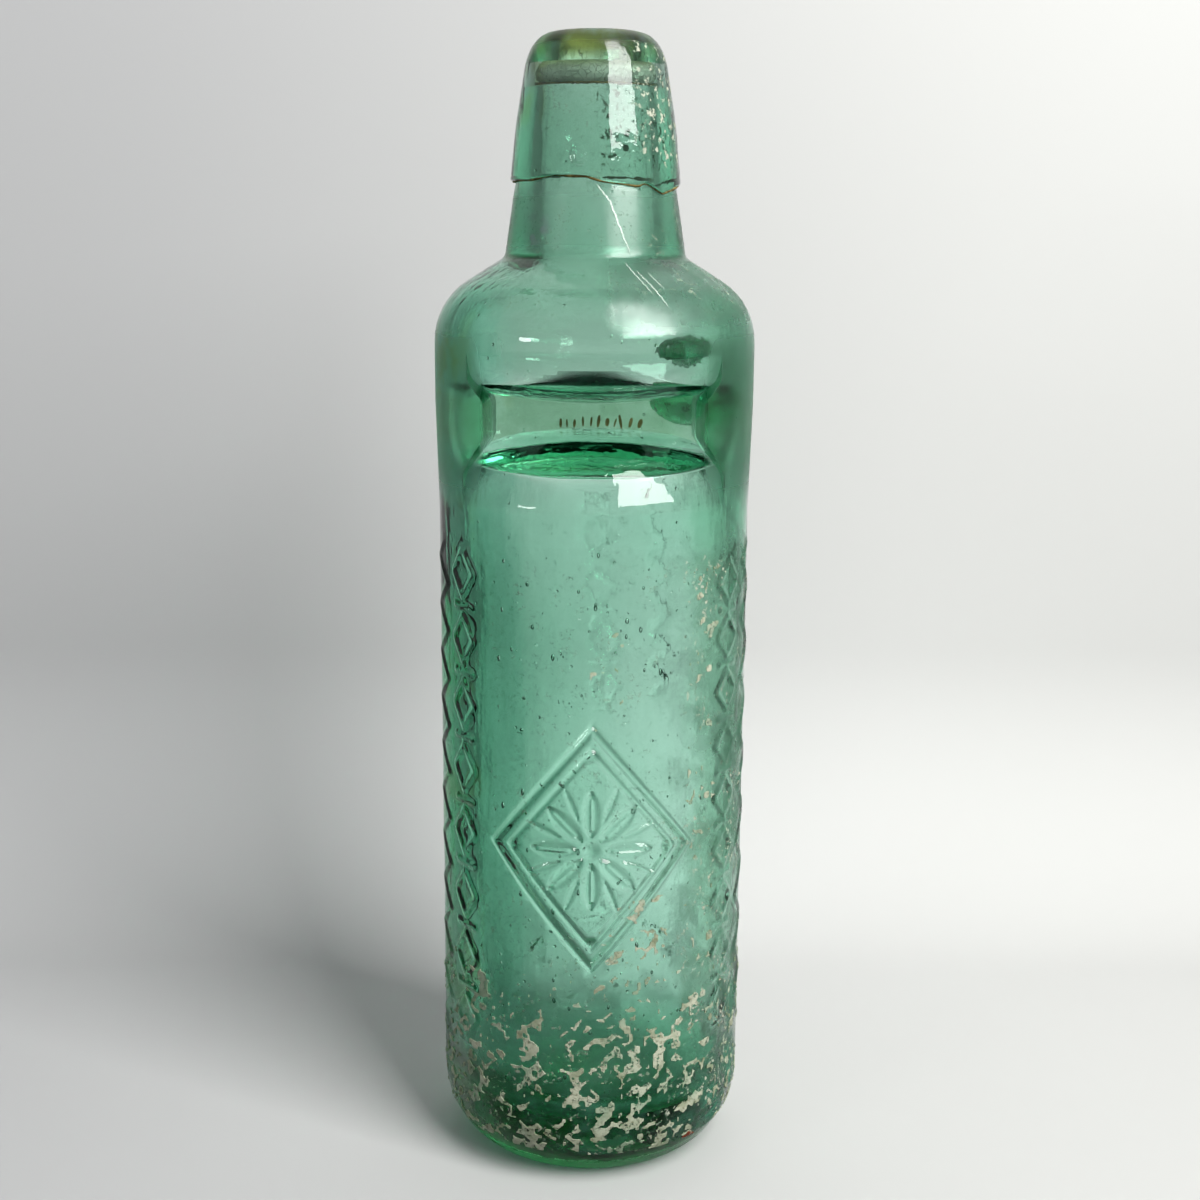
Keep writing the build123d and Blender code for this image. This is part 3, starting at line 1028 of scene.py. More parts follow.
# %% Wear as a node group: roughness, height in millimetres and stain
def worn_glass():
    """Roughness, height and stain of glass that lay in the ground."""
    tree, out = group("worn_glass", Roughness=NUMBER, Height=NUMBER, Stain=COLOUR)
    where = millimetres(tree)
    turn, height, radius = around(tree, where)
    across = node(tree, "ShaderNodeSeparateXYZ", {0: where}).outputs[0]
    sideways = math_node(tree, "ABSOLUTE", across, 0.0)
    patchy = ramp(tree, noise(tree, where, 0.09, 4.0, 0.6, 0.6), 0.48, 0.64)

    low_down = ramp(tree, height, 42.0, 8.0)
    right_side = hill(tree, turn, 18.0, 52.0, 105.0, 150.0)
    on_barrel = times(tree, ramp(tree, radius, 29.0, 30.0), ramp(tree, height, 138.0, 128.0))
    etched = most(tree, times(tree, low_down, 0.7), right_side)
    etched = times(tree, etched, plus(tree, times(tree, patchy, 0.7), 0.3), on_barrel)
    neck = times(tree, hill(tree, height, 181.0, 187.0, 195.0, 199.0), ramp(tree, radius, 13.5, 14.5))
    crown = ramp(tree, height, 221.0, 225.0)
    inner_heel = times(tree, ramp(tree, height, 40.0, 28.0), ramp(tree, radius, 28.2, 27.6))
    pillars = times(tree, hill(tree, height, 131.0, 147.0, 163.0, 180.0), ramp(tree, sideways, 18.5, 23.0))
    shoulder = times(tree, hill(tree, height, 168.0, 174.0, 182.0, 186.0), ramp(tree, across, -4.0, 6.0))
    shoulder = times(tree, shoulder, ramp(tree, noise(tree, where, 0.3, 4.0), 0.3, 0.6, 0.24, 0.38))
    roughness = most(
        tree,
        times(tree, etched, 0.5),
        times(tree, neck, 0.28),
        times(tree, crown, 0.34),
        times(tree, inner_heel, 0.34),
        times(tree, pillars, 0.4),
        shoulder,
    )
    roughness = plus(tree, roughness, times(tree, patchy, 0.012))

    drawn_out = noise(tree, millimetres(tree, (1, 1, 0.22)), 0.28, 2.0, 0.5)
    peel = noise(tree, where, 0.45, 2.0, 0.5)
    pits = ramp(tree, cells(tree, where, 0.27), 0.03, 0.09)
    fine_pits = ramp(tree, cells(tree, where, 1.1), 0.08, 0.2)
    fine_pits = times(tree, math_node(tree, "SUBTRACT", fine_pits, 1.0), etched)
    surface = plus(
        tree,
        times(tree, drawn_out, 0.11),
        times(tree, peel, 0.035),
        times(tree, pits, 0.14),
        times(tree, fine_pits, 0.06),
    )

    brown = times(tree, ramp(tree, height, 219.4, 222.6), ramp(tree, noise(tree, where, 0.16), 0.24, 0.5))
    ochre_cloud = ramp(tree, noise(tree, where, 0.07), 0.54, 0.66)
    ochre = times(tree, hill(tree, turn, -84.0, -74.0, -58.0, -48.0), ochre_cloud, 0.8)
    pane = times(
        tree,
        hill(tree, height, 147.0, 151.0, 157.0, 160.0),
        ramp(tree, noise(tree, where, 0.2, 4.0), 0.3, 0.6, 0.5, 1.0),
    )
    stain = (1, 1, 1)
    for share, colour in (
        (ramp(tree, height, 158.0, 166.0), (0.85, 0.85, 0.84)),
        (ramp(tree, height, 197.0, 201.0), (0.8, 0.82, 0.8)),
        (ramp(tree, across, -17.0, -25.0), (0.74, 0.95, 0.9)),
        (ramp(tree, across, 18.0, 26.0), (0.8, 0.92, 0.85)),
        (pane, (0.64, 0.74, 0.64)),
        (brown, (0.42, 0.38, 0.11)),
        (ochre, (0.7, 0.66, 0.3)),
    ):
        stain = blend(tree, share, stain, colour)
    for key, value in (("Roughness", roughness), ("Height", surface), ("Stain", stain)):
        tree.links.new(value, out.inputs[key])
    return tree

# %% The glass itself
def glass_material(name, density, tint, wear_tree):
    """Clear skin over a coloured volume, worn by a group that gives roughness, height and stain."""
    made, tree, shader, output = material(name)
    shader.inputs["IOR"].default_value = 1.52
    shader.inputs["Transmission Weight"].default_value = 1.0
    worn = node(tree, "ShaderNodeGroup", node_tree=wear_tree).outputs
    finish(tree, shader, {"Base Color": worn["Stain"], "Roughness": worn["Roughness"]}, worn["Height"], 1.0)
    volume = node(tree, "ShaderNodeVolumeAbsorption", {"Color": (*tint, 1), "Density": density})
    tree.links.new(volume.outputs["Volume"], output.inputs["Volume"])
    return made


glass.data.materials.clear()
glass.data.materials.append(glass_material("aqua_glass", glass_density, glass_tint, worn_glass()))
smooth(glass, 38)

# %% [markdown]
# ## The marble
#
# The marble was pressed, not ground, so it isn't quite round, and a small scar shows where it was cut from
# its rod. Rolling and a century of soil have scuffed it all over, so it shows as a dull green ball and not
# as a lens.

# %% The marble's shape
marble_centre = (marble_low + marble_high) / 2
marble_radius = (marble_high.z - marble_low.z) / 2
marble = fresh(bpy.ops.mesh.primitive_ico_sphere_add, "glass_marble", subdivisions=6, radius=marble_radius)
ball = points_of(marble) / MM
scar = Vector((-0.35, -0.6, 0.72)).normalized()
off = np.degrees(np.arccos(np.clip(ball @ np.array(scar) / np.linalg.norm(ball, axis=1), -1, 1)))
scar_dish = -0.3 * np.clip(1 - (off / 13) ** 2, 0, 1)
scar_lip = 0.06 * np.exp(-(((off - 15) / 2) ** 2))
uneven = 0.05 * waver(ball, 23, 9, 22, 9) + scar_dish + scar_lip - 0.06
ball *= (1 + uneven / (marble_radius / MM))[:, None]
put_points(marble, ball * MM)
place(marble, Matrix.Translation(marble_centre))
smooth(marble)

# %% The marble's glass
def marble_wear():
    """A clear ball with a few scuffs and a green streak."""
    tree, out = group("rolled_glass", Roughness=NUMBER, Height=NUMBER, Stain=COLOUR)
    where = millimetres(tree)
    scuffs = ramp(tree, noise(tree, where, 0.5, 4.0, 0.65, 0.8), 0.4, 0.62)
    streak = ramp(tree, noise(tree, millimetres(tree, (1, 1, 0.3)), 0.2, 2.0, 0.5, 1.5), 0.45, 0.62)
    tree.links.new(ramp(tree, scuffs, 0.0, 1.0, 0.24, 0.42), out.inputs["Roughness"])
    tree.links.new(times(tree, noise(tree, where, 0.8), 0.03), out.inputs["Height"])
    tree.links.new(blend(tree, streak, (1, 1, 1), (0.72, 0.9, 0.74)), out.inputs["Stain"])
    return tree


marble.data.materials.append(glass_material("marble_glass", glass_density, glass_tint, marble_wear()))

# %% [markdown]
# ## The rubber ring
#
# The ring sits in the groove under the lip. Rubber that has lain for a century is no longer black: it has
# bleached to a chalky grey, gone hard, cracked across, and lost its even roundness.

# %% The ring's shape
ring_major = (ring_high.x - ring_low.x) / 2 / MM
ring_minor = (ring_high.z - ring_low.z) / 2 / MM
ring_middle = (ring_high.z + ring_low.z) / 2 / MM
ring_core = ring_major - ring_minor
ring = cord("aged_ring", ring_core, ring_middle, ring_minor, ring_minor, 32, 144)
hoop = points_of(ring) / MM
x, y, z = hoop.T
turned_by = np.arctan2(y, x)
from_core = np.hypot(x, y) - ring_core
shrunk = 0.5 + 0.5 * waver(hoop, 31, 10, 14, 4).clip(-1.6, 1)
nicked = np.sin(turned_by * 3 + 1) > 0.97
dent = 1 - 0.07 * shrunk - 0.03 * nicked
reach_out = ring_core + from_core * dent
x, y = reach_out * np.cos(turned_by), reach_out * np.sin(turned_by)
put_points(ring, np.stack([x, y, ring_middle + (z - ring_middle) * dent], axis=1) * MM)
smooth(ring)
print("the ring reaches out to", round(ring_major, 2), "mm and is", round(2 * ring_minor, 2), "mm thick")
tell(ring)

# %% The ring's rubber
aged_rubber, tree, shader, output = material("aged_rubber")
shader.inputs["Specular IOR Level"].default_value = 0.3
where = millimetres(tree)
cloud = ramp(tree, noise(tree, where, 0.35, 5.0, 0.6), 0.35, 0.68)
open_crack = ramp(tree, cells(tree, where, 0.7, feature="DISTANCE_TO_EDGE"), 0.03, 0.0)
chalk = blend(tree, cloud, (0.62, 0.66, 0.56), (0.84, 0.87, 0.78))
chalk = blend(tree, times(tree, open_crack, 0.7), chalk, (0.22, 0.2, 0.13))
rough = ramp(tree, cloud, 0.0, 1.0, 0.6, 0.9)
rise = math_node(tree, "SUBTRACT", times(tree, cloud, 0.08), times(tree, open_crack, 0.12))
finish(tree, shader, {"Base Color": chalk, "Roughness": rough}, rise, 1.0)
ring.data.materials.append(aged_rubber)

# %% [markdown]
# ## What the ground left
#
# Three kinds of soil and wear lie on the glass. A dull veil follows the outside, thick on the right and
# near the foot. Lime has grown on it in scabs, which are solid plates a fifth of a millimetre thick. Rust
# has crept into the corner under the lip. They are pieces of their own, because each has its own body and
# finish.

# %% Copies of the glass's own faces, for what clings to it
def lifted_copy(name, test, lift):
    """A copy of the glass's faces that pass a test, lifted off them by so many millimetres."""
    edit(glass, "FACE")
    print(pick(glass, "FACE", test), "faces under", name)
    bpy.ops.mesh.duplicate()
    bpy.ops.mesh.separate(type="SELECTED")
    bpy.ops.object.mode_set(mode="OBJECT")
    made = next(item for item in bpy.context.selected_objects if item is not glass)
    made.name = made.data.name = name
    made.data.materials.clear()
    edit(made, "FACE")
    bpy.ops.mesh.select_all(action="SELECT")
    bpy.ops.transform.shrink_fatten(value=lift * MM)
    bpy.ops.object.mode_set(mode="OBJECT")
    return made


def outer_copy(name, wanted, lift):
    """A lifted copy of those faces of the outside that lie at wanted spots."""
    def outside(face):
        """Whether a face belongs to the outside and is wanted."""
        spot = face.calc_center_median() / MM
        reach_out = math.hypot(spot.x, spot.y)
        past_bore = reach_out > (29.6 if spot.z < 135 else float(radius_at(bore_outline[1:], spot.z)) + 2.2)
        outward = face.normal.x * spot.x + face.normal.y * spot.y > 0
        return past_bore and (outward or spot.z < 4) and wanted(spot)

    return lifted_copy(name, outside, lift)


def middles_of(item):
    """The middles of an object's faces, in millimetres."""
    middles = np.empty(len(item.data.polygons) * 3)
    item.data.polygons.foreach_get("center", middles)
    return middles.reshape(-1, 3) / MM


def is_pinched(point):
    """Whether parts of a sheet touch at this point by a corner alone, which can't be given a thickness."""
    return sum(len(side.link_faces) == 1 for side in point.link_edges) > 2


def plate(item, bare, thickness):
    """Takes the bare faces off a sheet, softens the edge of what is left and makes it a solid plate."""
    item.data.polygons.foreach_set("select", bare)
    edit(item, "FACE", keep=True)
    bpy.ops.mesh.delete(type="FACE")
    bpy.ops.mesh.select_mode(type="VERT")
    while pick(item, "VERT", is_pinched):
        bpy.ops.mesh.delete(type="VERT")
        bpy.ops.mesh.select_all(action="SELECT")
        bpy.ops.mesh.delete_loose()
    bpy.ops.mesh.select_all(action="SELECT")
    bpy.ops.mesh.vertices_smooth(factor=0.5, repeat=2)
    bpy.ops.object.mode_set(mode="OBJECT")
    apply_modifier(item, "SOLIDIFY", thickness=thickness * MM, offset=1.0)

# %% A veil on the outside, as one thin sheet
veil = outer_copy("soil_veil", lambda spot: 2.5 < spot.z < 131 or 172 < spot.z < rim_z - 0.6, 0.04)
smooth(veil)

# %% The veil's film as a node group, and its material
def soil_film():
    """How much of the veil covers the glass, its colour with a painted sheen on the neck, and its grain."""
    tree, out = group("soil_film", Cover=NUMBER, Colour=COLOUR, Height=NUMBER)
    where = millimetres(tree)
    turn, height, radius = around(tree, where)
    right_side = hill(tree, turn, 22.0, 50.0, 120.0, 160.0)
    right_side = times(tree, right_side, ramp(tree, height, 200.0, 120.0, 0.4, 1.0))
    low_down = ramp(tree, height, 52.0, 12.0)
    amount = plus(tree, times(tree, right_side, 0.5), times(tree, low_down, 0.34))
    cloud = ramp(tree, noise(tree, where, 0.11, 6.0, 0.62, 0.5), 0.4, 0.66)
    dull = times(tree, plus(tree, amount, 0.05), cloud)

    grain = ramp(tree, noise(tree, where, 0.95, 5.0, 0.7), 0.55, 0.62)
    herd = ramp(tree, noise(tree, where, 0.13, 3.0, 0.6), 0.44, 0.62)
    grain = times(tree, grain, herd, plus(tree, amount, 0.22), 1.6, clamp=True)
    on_lip = times(tree, ramp(tree, height, 198.0, 203.0), ramp(tree, turn, 18.0, 40.0))
    crumbs = ramp(tree, noise(tree, where, 0.62, 5.0, 0.68), 0.56, 0.6)
    grain = most(tree, grain, times(tree, on_lip, crumbs))

    # Painted sheen: a lavender patch on the left of the neck, put into the film's colour and cover.
    painted_sheen = times(
        tree,
        hill(tree, height, 185.0, 188.0, 190.0, 195.0),
        hill(tree, turn, -58.0, -44.0, -36.0, -24.0),
        ramp(tree, noise(tree, where, 0.3, 2.0), 0.4, 0.6, 0.0, 0.3),
    )
    smooth_band = most(tree, ramp(tree, height, 131.0, 126.0), ramp(tree, height, 172.0, 176.0))
    colour = blend(tree, low_down, (0.1, 0.23, 0.15), (0.06, 0.22, 0.14))
    colour = blend(tree, grain, colour, (0.5, 0.5, 0.4))
    colour = blend(tree, times(tree, painted_sheen, 3.0, clamp=True), colour, (0.3, 0.22, 0.36))
    tree.links.new(times(tree, most(tree, dull, grain, painted_sheen), smooth_band), out.inputs["Cover"])
    tree.links.new(colour, out.inputs["Colour"])
    tree.links.new(plus(tree, times(tree, grain, 0.08), noise(tree, where, 2.0)), out.inputs["Height"])
    return tree


veil_material, tree, shader, output = material("soil_veil")
shader.inputs["Roughness"].default_value = 0.85
shader.inputs["Specular IOR Level"].default_value = 0.25
film = node(tree, "ShaderNodeGroup", node_tree=soil_film()).outputs
finish(tree, shader, {"Alpha": film["Cover"], "Base Color": film["Colour"]}, film["Height"], 0.1)
veil.data.materials.append(veil_material)

# %% Scabs of lime, as solid plates
def lime_here(spots):
    """How willingly lime grows at points in millimetres: above nought there is a scab."""
    x, y, z = spots.T
    turned_by = np.degrees(np.arctan2(x, -y))
    lace = 0.6 - 1.3 * np.abs(waver(spots, 41, 26, 15, 6, 1) + 0.5 * waver(spots, 67, 24, 4, 1.8, 1))
    grown = lace + 0.42 * waver(spots, 43, 24, 7, 3, 0.8) + 0.5 * waver(spots, 47, 34, 2.4, 1.0, 1)
    foot = np.interp(z, [3, 8, 30, 44, 60], [-0.45, -0.14, -0.16, -0.75, -3])
    foot += np.interp(np.abs(turned_by), [0, 50, 85, 180], [0.0, -0.05, -0.55, -0.9])
    strip = np.interp(np.abs(turned_by - 44), [0, 7, 13], [-0.62, -0.9, -3])
    strip += np.interp(z, [34, 44, 126, 134], [-2, 0, 0, -2])
    middle_patch = np.interp(np.hypot((turned_by - 16) / 13, (z - 52) / 17), [0, 1, 1.5], [-0.25, -0.85, -3])
    upper_patch = np.interp(np.hypot((turned_by - 8) / 9, (z - 104) / 12), [0, 1, 1.4], [-0.75, -1.1, -3])
    return grown + np.maximum.reduce([foot, strip, middle_patch, upper_patch])


def lime_zone(spot):
    """Whether a spot of the outside lies where lime may grow at all."""
    turned_by = math.degrees(math.atan2(spot.x, -spot.y))
    on_foot = 3 < spot.z < 62
    on_strip = spot.z < 132 and 28 < turned_by < 60
    on_patch = 84 < spot.z < 122 and abs(turned_by - 8) < 14
    return on_foot or on_strip or on_patch


lime = outer_copy("lime_scabs", lime_zone, 0.03)
coarse_area = (0.75 * MM) ** 2
divide(lime, 2, lambda face: face.calc_area() > coarse_area)
plate(lime, lime_here(middles_of(lime)) < 0, 0.17)
smooth(lime, 50)
tell(lime)

# %% The lime's crust
crust, tree, shader, output = material("lime_crust")
shader.inputs["Specular IOR Level"].default_value = 0.25
where = millimetres(tree)
cloud = ramp(tree, noise(tree, where, 0.22, 5.0, 0.6), 0.36, 0.64)
dirt = ramp(tree, noise(tree, where, 1.3, 4.0, 0.65), 0.54, 0.66)
green = ramp(tree, noise(tree, where, 0.09, 2.0), 0.5, 0.64)
crumbly = ramp(tree, noise(tree, where, 0.85, 6.0, 0.72), 0.42, 0.47)
chalk = blend(tree, cloud, (0.3, 0.34, 0.22), (0.56, 0.58, 0.44))
chalk = blend(tree, times(tree, dirt, 0.6), chalk, (0.2, 0.2, 0.1))
chalk = blend(tree, times(tree, green, 0.55), chalk, (0.24, 0.38, 0.26))
rough = ramp(tree, dirt, 0.0, 1.0, 0.8, 0.98)
rise = plus(tree, times(tree, noise(tree, where, 1.1, 5.0, 0.7), 0.16), times(tree, dirt, -0.05))
finish(tree, shader, {"Base Color": chalk, "Roughness": rough, "Alpha": crumbly}, rise, 1.0)
lime.data.materials.append(crust)

# %% Rust under the lip, a dark cord along the groove's floor, and a spot of rust near the foot
thread_radius, thread_z = neck_radius_at(lip_foot_z) + 0.45, lip_foot_z - 0.05
rust = cord("rust_marks", thread_radius, thread_z, 0.27, 0.22, 8, 128)
thread = points_of(rust) / MM
swollen = 1 + 0.55 * waver(thread, 53, 10, 9, 2.5).clip(-1.3, 1.3)
outwards = np.hypot(thread[:, 0], thread[:, 1])
thread[:, :2] *= ((thread_radius + (outwards - thread_radius) * swollen) / outwards)[:, None]
thread[:, 2] = thread_z + (thread[:, 2] - thread_z) * swollen
put_points(rust, thread * MM)
sag_of_lip(rust)
# A dark cord along the groove's floor, under the ring.
dark_groove_cord = cord("dark_groove_cord", groove_radius - 0.34, groove_floor_z + 0.3, 0.24, 0.22, 6, 96)


def near_blot(spot):
    """Whether a spot of the outside lies round the rust spot."""
    turned_by = math.degrees(math.atan2(spot.x, -spot.y))
    return 1 < spot.z < 14 and 34 < turned_by < 54


blot_turn, blot_z, blot_half_turn, blot_half_height = 43.5, 7.4, 4.2, 1.7
blot = outer_copy("rust_spot", near_blot, 0.05)
divide(blot, 3)
middles = middles_of(blot)
across = (np.degrees(np.arctan2(middles[:, 0], -middles[:, 1])) - blot_turn) / blot_half_turn
up = (middles[:, 2] - blot_z) / blot_half_height
plate(blot, np.hypot(across, up + 0.5 * across) + 0.22 * waver(middles, 59, 20, 4, 1.2) > 0.95, 0.15)
only(rust, blot, dark_groove_cord)
bpy.ops.object.join()
smooth(rust, 50)
tell(rust)

# %% The rust's flakes
flaky, tree, shader, output = material("flaky_rust")
shader.inputs["Specular IOR Level"].default_value = 0.25
where = millimetres(tree)
turn, height, radius = around(tree, where)
cloud = ramp(tree, noise(tree, where, 0.9, 5.0, 0.65), 0.36, 0.64)
brown = blend(tree, cloud, (0.07, 0.05, 0.015), (0.3, 0.21, 0.07))
red = blend(tree, cloud, (0.1, 0.018, 0.008), (0.36, 0.07, 0.02))
colour = blend(tree, ramp(tree, height, 30.0, 20.0), brown, red)
rough = ramp(tree, cloud, 0.0, 1.0, 0.7, 0.95)
finish(tree, shader, {"Base Color": colour, "Roughness": rough}, cloud, 0.12)
rust.data.materials.append(flaky)

# %% [markdown]
# ## Scratches, silt, and painted shade on the ledge
#
# A deep scratch in glass is a furrow of crushed grains that scatter light, so it looks white. Each is a
# thin sliver that follows the outside. A dark green plate on the ledge inside is painted shade, which
# darkens the band above the pinch, and fine soil left brown trickles on the pane between the pockets.

# %% Scratches, as thin slivers of crushed glass
def flat_strip(name, x_faces, y_faces):
    """A flat strip of so many faces, from -1 to 1 both ways."""
    return fresh(
        bpy.ops.mesh.primitive_grid_add, name, x_subdivisions=x_faces, y_subdivisions=y_faces, size=2
    )


def sliver(path, width):
    """A thin strip on the outside along points given as an angle from the front and a height."""
    path = np.array(path, float)
    count = 40
    steps = np.linspace(0, len(path) - 1, count + 1)
    turns = np.interp(steps, range(len(path)), path[:, 0])
    heights = np.interp(steps, range(len(path)), path[:, 1])
    strip = flat_strip("sliver", count, 1)
    flat = points_of(strip)
    at = (flat[:, 0] + 1) * count / 2
    taper = np.sin(np.clip(at / count, 0, 1) * math.pi) ** 0.5 + 0.15
    wander = 0.16 * np.sin(at * 1.7) * np.sin(at * 0.61 + width * 9)
    turn = np.radians(np.interp(at, range(count + 1), turns))
    z = np.interp(at, range(count + 1), heights)
    reach_out = radius_at(wall_outline, z) + 0.05
    aside = (flat[:, 1] * width / 2 * taper + wander) / reach_out
    x, y = reach_out * np.sin(turn + aside), -reach_out * np.cos(turn + aside)
    put_points(strip, np.stack([x, y, z], axis=1) * MM)
    apply_modifier(strip, "SOLIDIFY", thickness=0.05 * MM, offset=0.0)
    return strip


slivers = [
    sliver([(1, lip_foot_z - 0.7), (10, 194.5), (22, neck_foot_z + 0.8)], 0.3),
    sliver([(17, 183.4), (20, 180.6), (23, 177.6)], 0.15),
    sliver([(21, 182.0), (24, 179.2), (27.5, 175.4)], 0.17),
    sliver([(26.5, 181.5), (29, 178.6)], 0.12),
]
scratches = slivers[0]
scratches.name = scratches.data.name = "scratches"
only(*slivers)
bpy.ops.object.join()
edit(scratches, "FACE")
close_up(scratches)
tell(scratches)

# %% The scratches' crushed glass
crushed, tree, shader, output = material("crushed_glass")
where = millimetres(tree)
frost = ramp(tree, noise(tree, where, 3.0, 3.0, 0.6), 0.35, 0.65)
tree.links.new(blend(tree, frost, (0.42, 0.56, 0.47), (0.85, 0.9, 0.84)), shader.inputs["Base Color"])
tree.links.new(ramp(tree, frost, 0.0, 1.0, 0.35, 0.6), shader.inputs["Roughness"])
scratches.data.materials.append(crushed)

# %% Painted shade on the front ledge, as a dark plate, and brown marks of silt on the pane below it
def on_ledge(face):
    """Faces on top of the front ledge, inside."""
    spot = face.calc_center_median() / MM
    return abs(spot.x) < 15.5 and -27.6 < spot.y < -10 and 156 < spot.z < 164.2 and face.normal.z > 0.12


# Painted shade: the plate on the front ledge is a dark green sheet that darkens the band above the pinch.
shade_and_silt = lifted_copy("ledge_shade_and_silt", on_ledge, 0.12)
divide(shade_and_silt, 1)
middles = middles_of(shade_and_silt)
shade_x, shade_y, shade_half_length, shade_half_width = -0.5, -18.8, 15.0, 9.0
along = (middles[:, 0] - shade_x) / shade_half_length
inward = (middles[:, 1] - shade_y) / shade_half_width
plate(shade_and_silt, np.hypot(along, inward) > 1, 0.08)

mark_count = 11
marks = [shade_and_silt]
chance = random.Random(29)
for count in range(mark_count):
    x = -6.5 + count * 1.5 + chance.uniform(-0.6, 0.6)
    low, high = 151.7 + chance.uniform(0, 0.7), 154.6 - chance.uniform(0, 1.1)
    mark = flat_strip("mark", 1, 8)
    flat = points_of(mark)
    tall = (flat[:, 1] + 1) / 2
    broad = chance.uniform(0.14, 0.6) * (0.5 + 0.5 * np.sin(tall * math.pi))
    lean = chance.uniform(-0.5, 0.5) * tall
    y = np.full(len(flat), -pocket_floor - 0.06)
    put_points(mark, np.stack([x + flat[:, 0] * broad + lean, y, low + tall * (high - low)], axis=1) * MM)
    apply_modifier(mark, "SOLIDIFY", thickness=0.04 * MM, offset=0.0)
    marks.append(mark)
only(*marks)
bpy.ops.object.join()
edit(shade_and_silt, "FACE")
close_up(shade_and_silt)
smooth(shade_and_silt, 50)
tell(shade_and_silt)

# %% The ledge's painted shade and the marks' silt
shade_and_mud, tree, shader, output = material("painted_shade_and_silt")
shader.inputs["Specular IOR Level"].default_value = 0.25
where = millimetres(tree)
x, y, height = node(tree, "ShaderNodeSeparateXYZ", {0: where}).outputs
cloud = ramp(tree, noise(tree, where, 0.3, 5.0, 0.62), 0.36, 0.66)
is_mark = ramp(tree, height, 155.8, 155.0)
# The plate's dark green is painted shade; the marks' brown is silt.
green = blend(tree, cloud, (0.012, 0.07, 0.038), (0.03, 0.12, 0.075))
brown = blend(tree, cloud, (0.1, 0.11, 0.035), (0.22, 0.22, 0.09))
along = math_node(tree, "DIVIDE", math_node(tree, "SUBTRACT", x, shade_x), shade_half_length)
inward = math_node(tree, "DIVIDE", math_node(tree, "SUBTRACT", y, shade_y), shade_half_width)
squares = plus(tree, math_node(tree, "POWER", along, 2.0), math_node(tree, "POWER", inward, 2.0))
film = most(tree, ramp(tree, math_node(tree, "SQRT", squares, 0.0), 1.0, 0.82), is_mark)
rough = ramp(tree, cloud, 0.0, 1.0, 0.6, 0.9)
colour = blend(tree, is_mark, green, brown)
finish(tree, shader, {"Base Color": colour, "Roughness": rough, "Alpha": film}, cloud, 0.15)
shade_and_silt.data.materials.append(shade_and_mud)

# %% [markdown]
# ## The studio
#
# Glass has no look of its own: it shows what stands round it. The photographer worked beside a tall window,
# on white paper that runs up behind the bottle without a corner. A studio stands dark flags to the left and
# the right of a bottle, so that its edges don't melt into the white. Here painted shade takes their place:
# the paper itself turns darker towards its sides and its front, for every ray but the camera's. That gives
# the glass its dark edges without a flag's sharp line in the picture. For the camera's rays the paper
# carries painted light, darker on the left and lighter on the right, towards the window.

# %% Floor and backdrop in one sweep
sweep_half_width, sweep_front, sweep_back = 900.0, -900.0, 150.0
sweep_round, sweep_height = 70.0, 900.0
corners = [(sweep_front, 0), (sweep_back, 0), (sweep_back, sweep_height)]
sweep = drawn("studio_sweep", rounded(corners, {1: sweep_round}, math.radians(6)))
bpy.ops.mesh.select_all(action="SELECT")
bpy.ops.mesh.extrude_region_move(TRANSFORM_OT_translate={"value": (0, 2 * sweep_half_width * MM, 0)})
bpy.ops.object.mode_set(mode="OBJECT")
place(sweep, Matrix.Rotation(math.pi / 2, 4, "Z") @ Matrix.Translation((0, -sweep_half_width * MM, 0)))
smooth(sweep)

# %% The paper: painted shade towards its sides and front for all rays but the camera's, painted light across it for the camera
paper, tree, shader, output = material("pale_paper")
shader.inputs["Roughness"].default_value = 0.9
shader.inputs["Specular IOR Level"].default_value = 0.2
spot = node(tree, "ShaderNodeTexCoord")
axes = node(tree, "ShaderNodeSeparateXYZ", {0: spot.outputs["Object"]})
path = node(tree, "ShaderNodeLightPath")
# Painted shade for all rays but the camera's: the paper darkens towards its sides, and in front of the bottle
# it is nearly black.
sideways = node(tree, "ShaderNodeMapRange", {"Value": axes.outputs["X"], "From Min": -0.2, "From Max": 0.2})
falloff = node(tree, "ShaderNodeValToRGB", {0: sideways.outputs[0]})
stops = [(0.0, 0.2), (0.24, 0.46), (0.4, 0.57), (0.5, 0.65), (0.6, 0.72), (0.76, 0.6), (1.0, 0.2)]
for index, (at, value) in enumerate(stops):
    stop = falloff.color_ramp.elements[index] if index < 2 else falloff.color_ramp.elements.new(at)
    stop.position = at
    stop.color = (value, value, value, 1)
unseen_with_painted_shade = blend(tree, ramp(tree, axes.outputs["Y"], -0.05, 0.01), (0.05, 0.055, 0.06), falloff.outputs[0])
# Painted light for the camera's rays: the paper is darker on the left and lighter on the right, towards the
# window.
seen_with_painted_light = blend(tree, ramp(tree, axes.outputs["X"], -0.16, 0.16), (0.5, 0.5, 0.505), (0.67, 0.67, 0.655))
tone = blend(tree, path.outputs["Is Camera Ray"], unseen_with_painted_shade, seen_with_painted_light)
tree.links.new(tone, shader.inputs["Base Color"])
geometry = node(tree, "ShaderNodeNewGeometry")
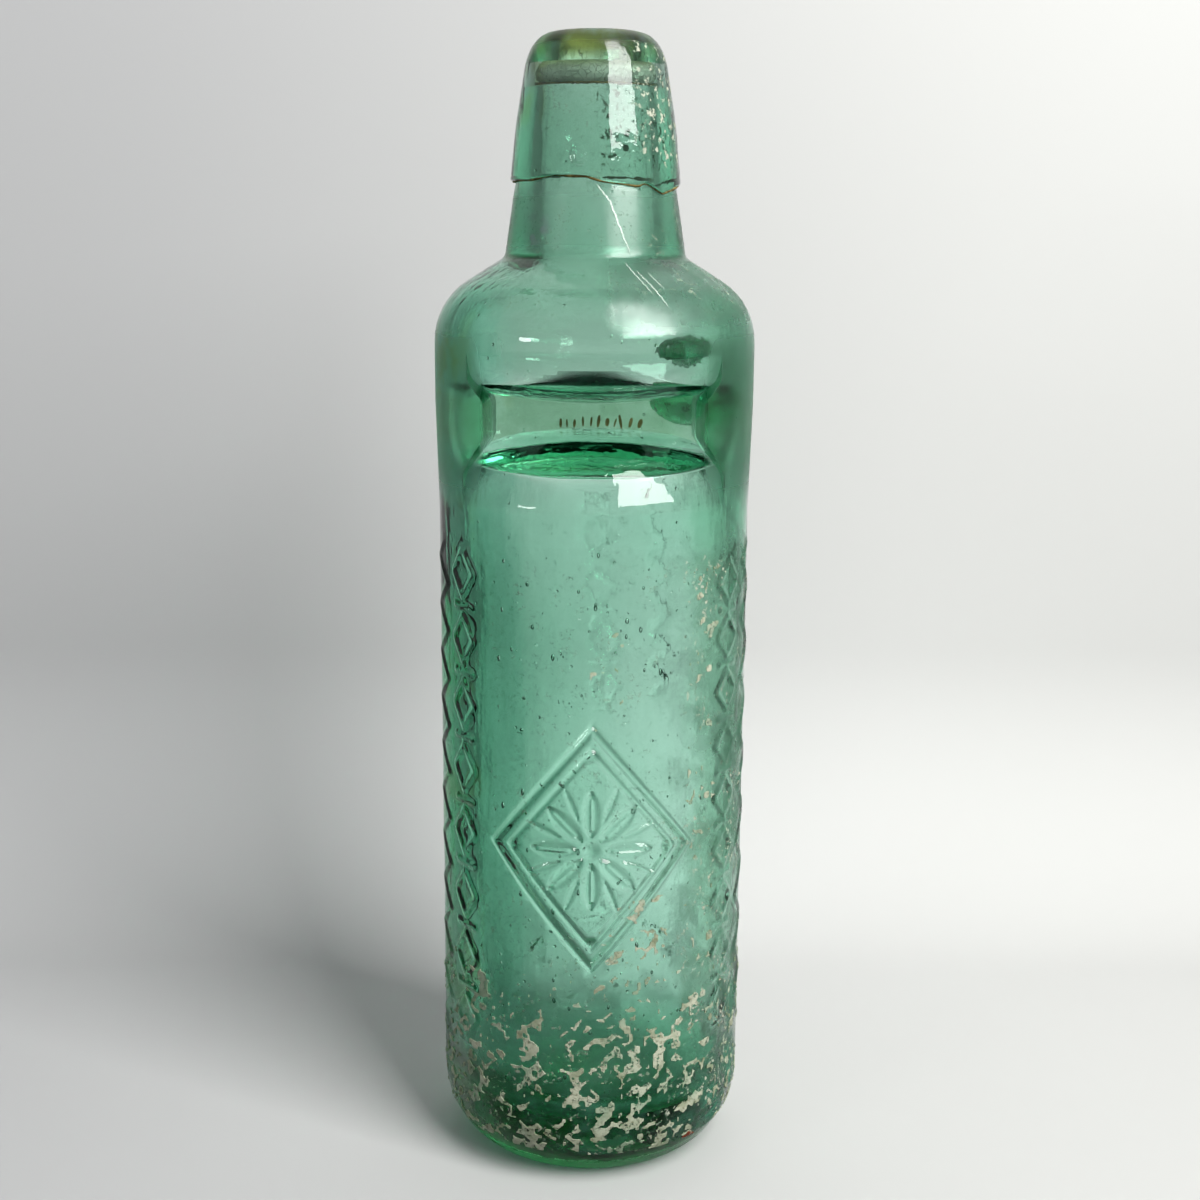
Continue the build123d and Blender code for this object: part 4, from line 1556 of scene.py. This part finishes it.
behind = math_node(tree, "MULTIPLY", geometry.outputs["Backfacing"], path.outputs["Is Camera Ray"])
clear = node(tree, "ShaderNodeBsdfTransparent")
either = node(tree, "ShaderNodeMixShader", {0: behind, 1: shader.outputs[0], 2: clear.outputs[0]})
tree.links.new(either.outputs[0], output.inputs["Surface"])
sweep.data.materials.append(paper)

# %% The window, a small lamp and the room
def lamp(name, azimuth, distance, low, high, width, radiance, colour=(1, 1, 1)):
    """An upright area light that faces the bottle, given where its reflection has to appear."""
    data = bpy.data.lights.new(name, "AREA")
    data.shape = "RECTANGLE"
    data.size, data.size_y = width, high - low
    data.energy = radiance * math.pi * width * (high - low)
    data.color = colour
    made = bpy.data.objects.new(name, data)
    turn = math.radians(azimuth)
    made.location = (distance * math.sin(turn), -distance * math.cos(turn), (low + high) / 2)
    made.rotation_euler = (math.pi / 2, 0, turn)
    made.visible_camera = False
    bpy.context.scene.collection.objects.link(made)
    return made


lamp("tall_window", 41, 0.8, 0.405, 1.9, 0.57, 12.0, (1, 1, 0.98))
lamp("small_lamp", -49, 1.0, 0.31, 0.38, 0.2, 14.0)

room = bpy.data.worlds.new("room")
bpy.context.scene.world = room
room.use_nodes = True
tree = room.node_tree
path = node(tree, "ShaderNodeLightPath")
shown = math_node(tree, "MAXIMUM", path.outputs["Is Camera Ray"], path.outputs["Is Glossy Ray"])
shown = math_node(tree, "MAXIMUM", shown, path.outputs["Is Transmission Ray"])
tone = blend(tree, shown, (0.2, 0.21, 0.22), (0.42, 0.42, 0.42))
tree.links.new(tone, tree.nodes["Background"].inputs["Color"])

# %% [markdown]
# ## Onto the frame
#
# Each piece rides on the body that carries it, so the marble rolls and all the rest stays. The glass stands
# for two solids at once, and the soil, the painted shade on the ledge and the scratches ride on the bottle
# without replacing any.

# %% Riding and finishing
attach(glass, "bottle")
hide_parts("bottle_body", "applied_lip")
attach(marble, "marble")
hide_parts("marble")
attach(ring, "bottle")
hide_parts("sealing_ring")
for item in (veil, lime, rust, scratches, shade_and_silt):
    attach(item, "bottle")
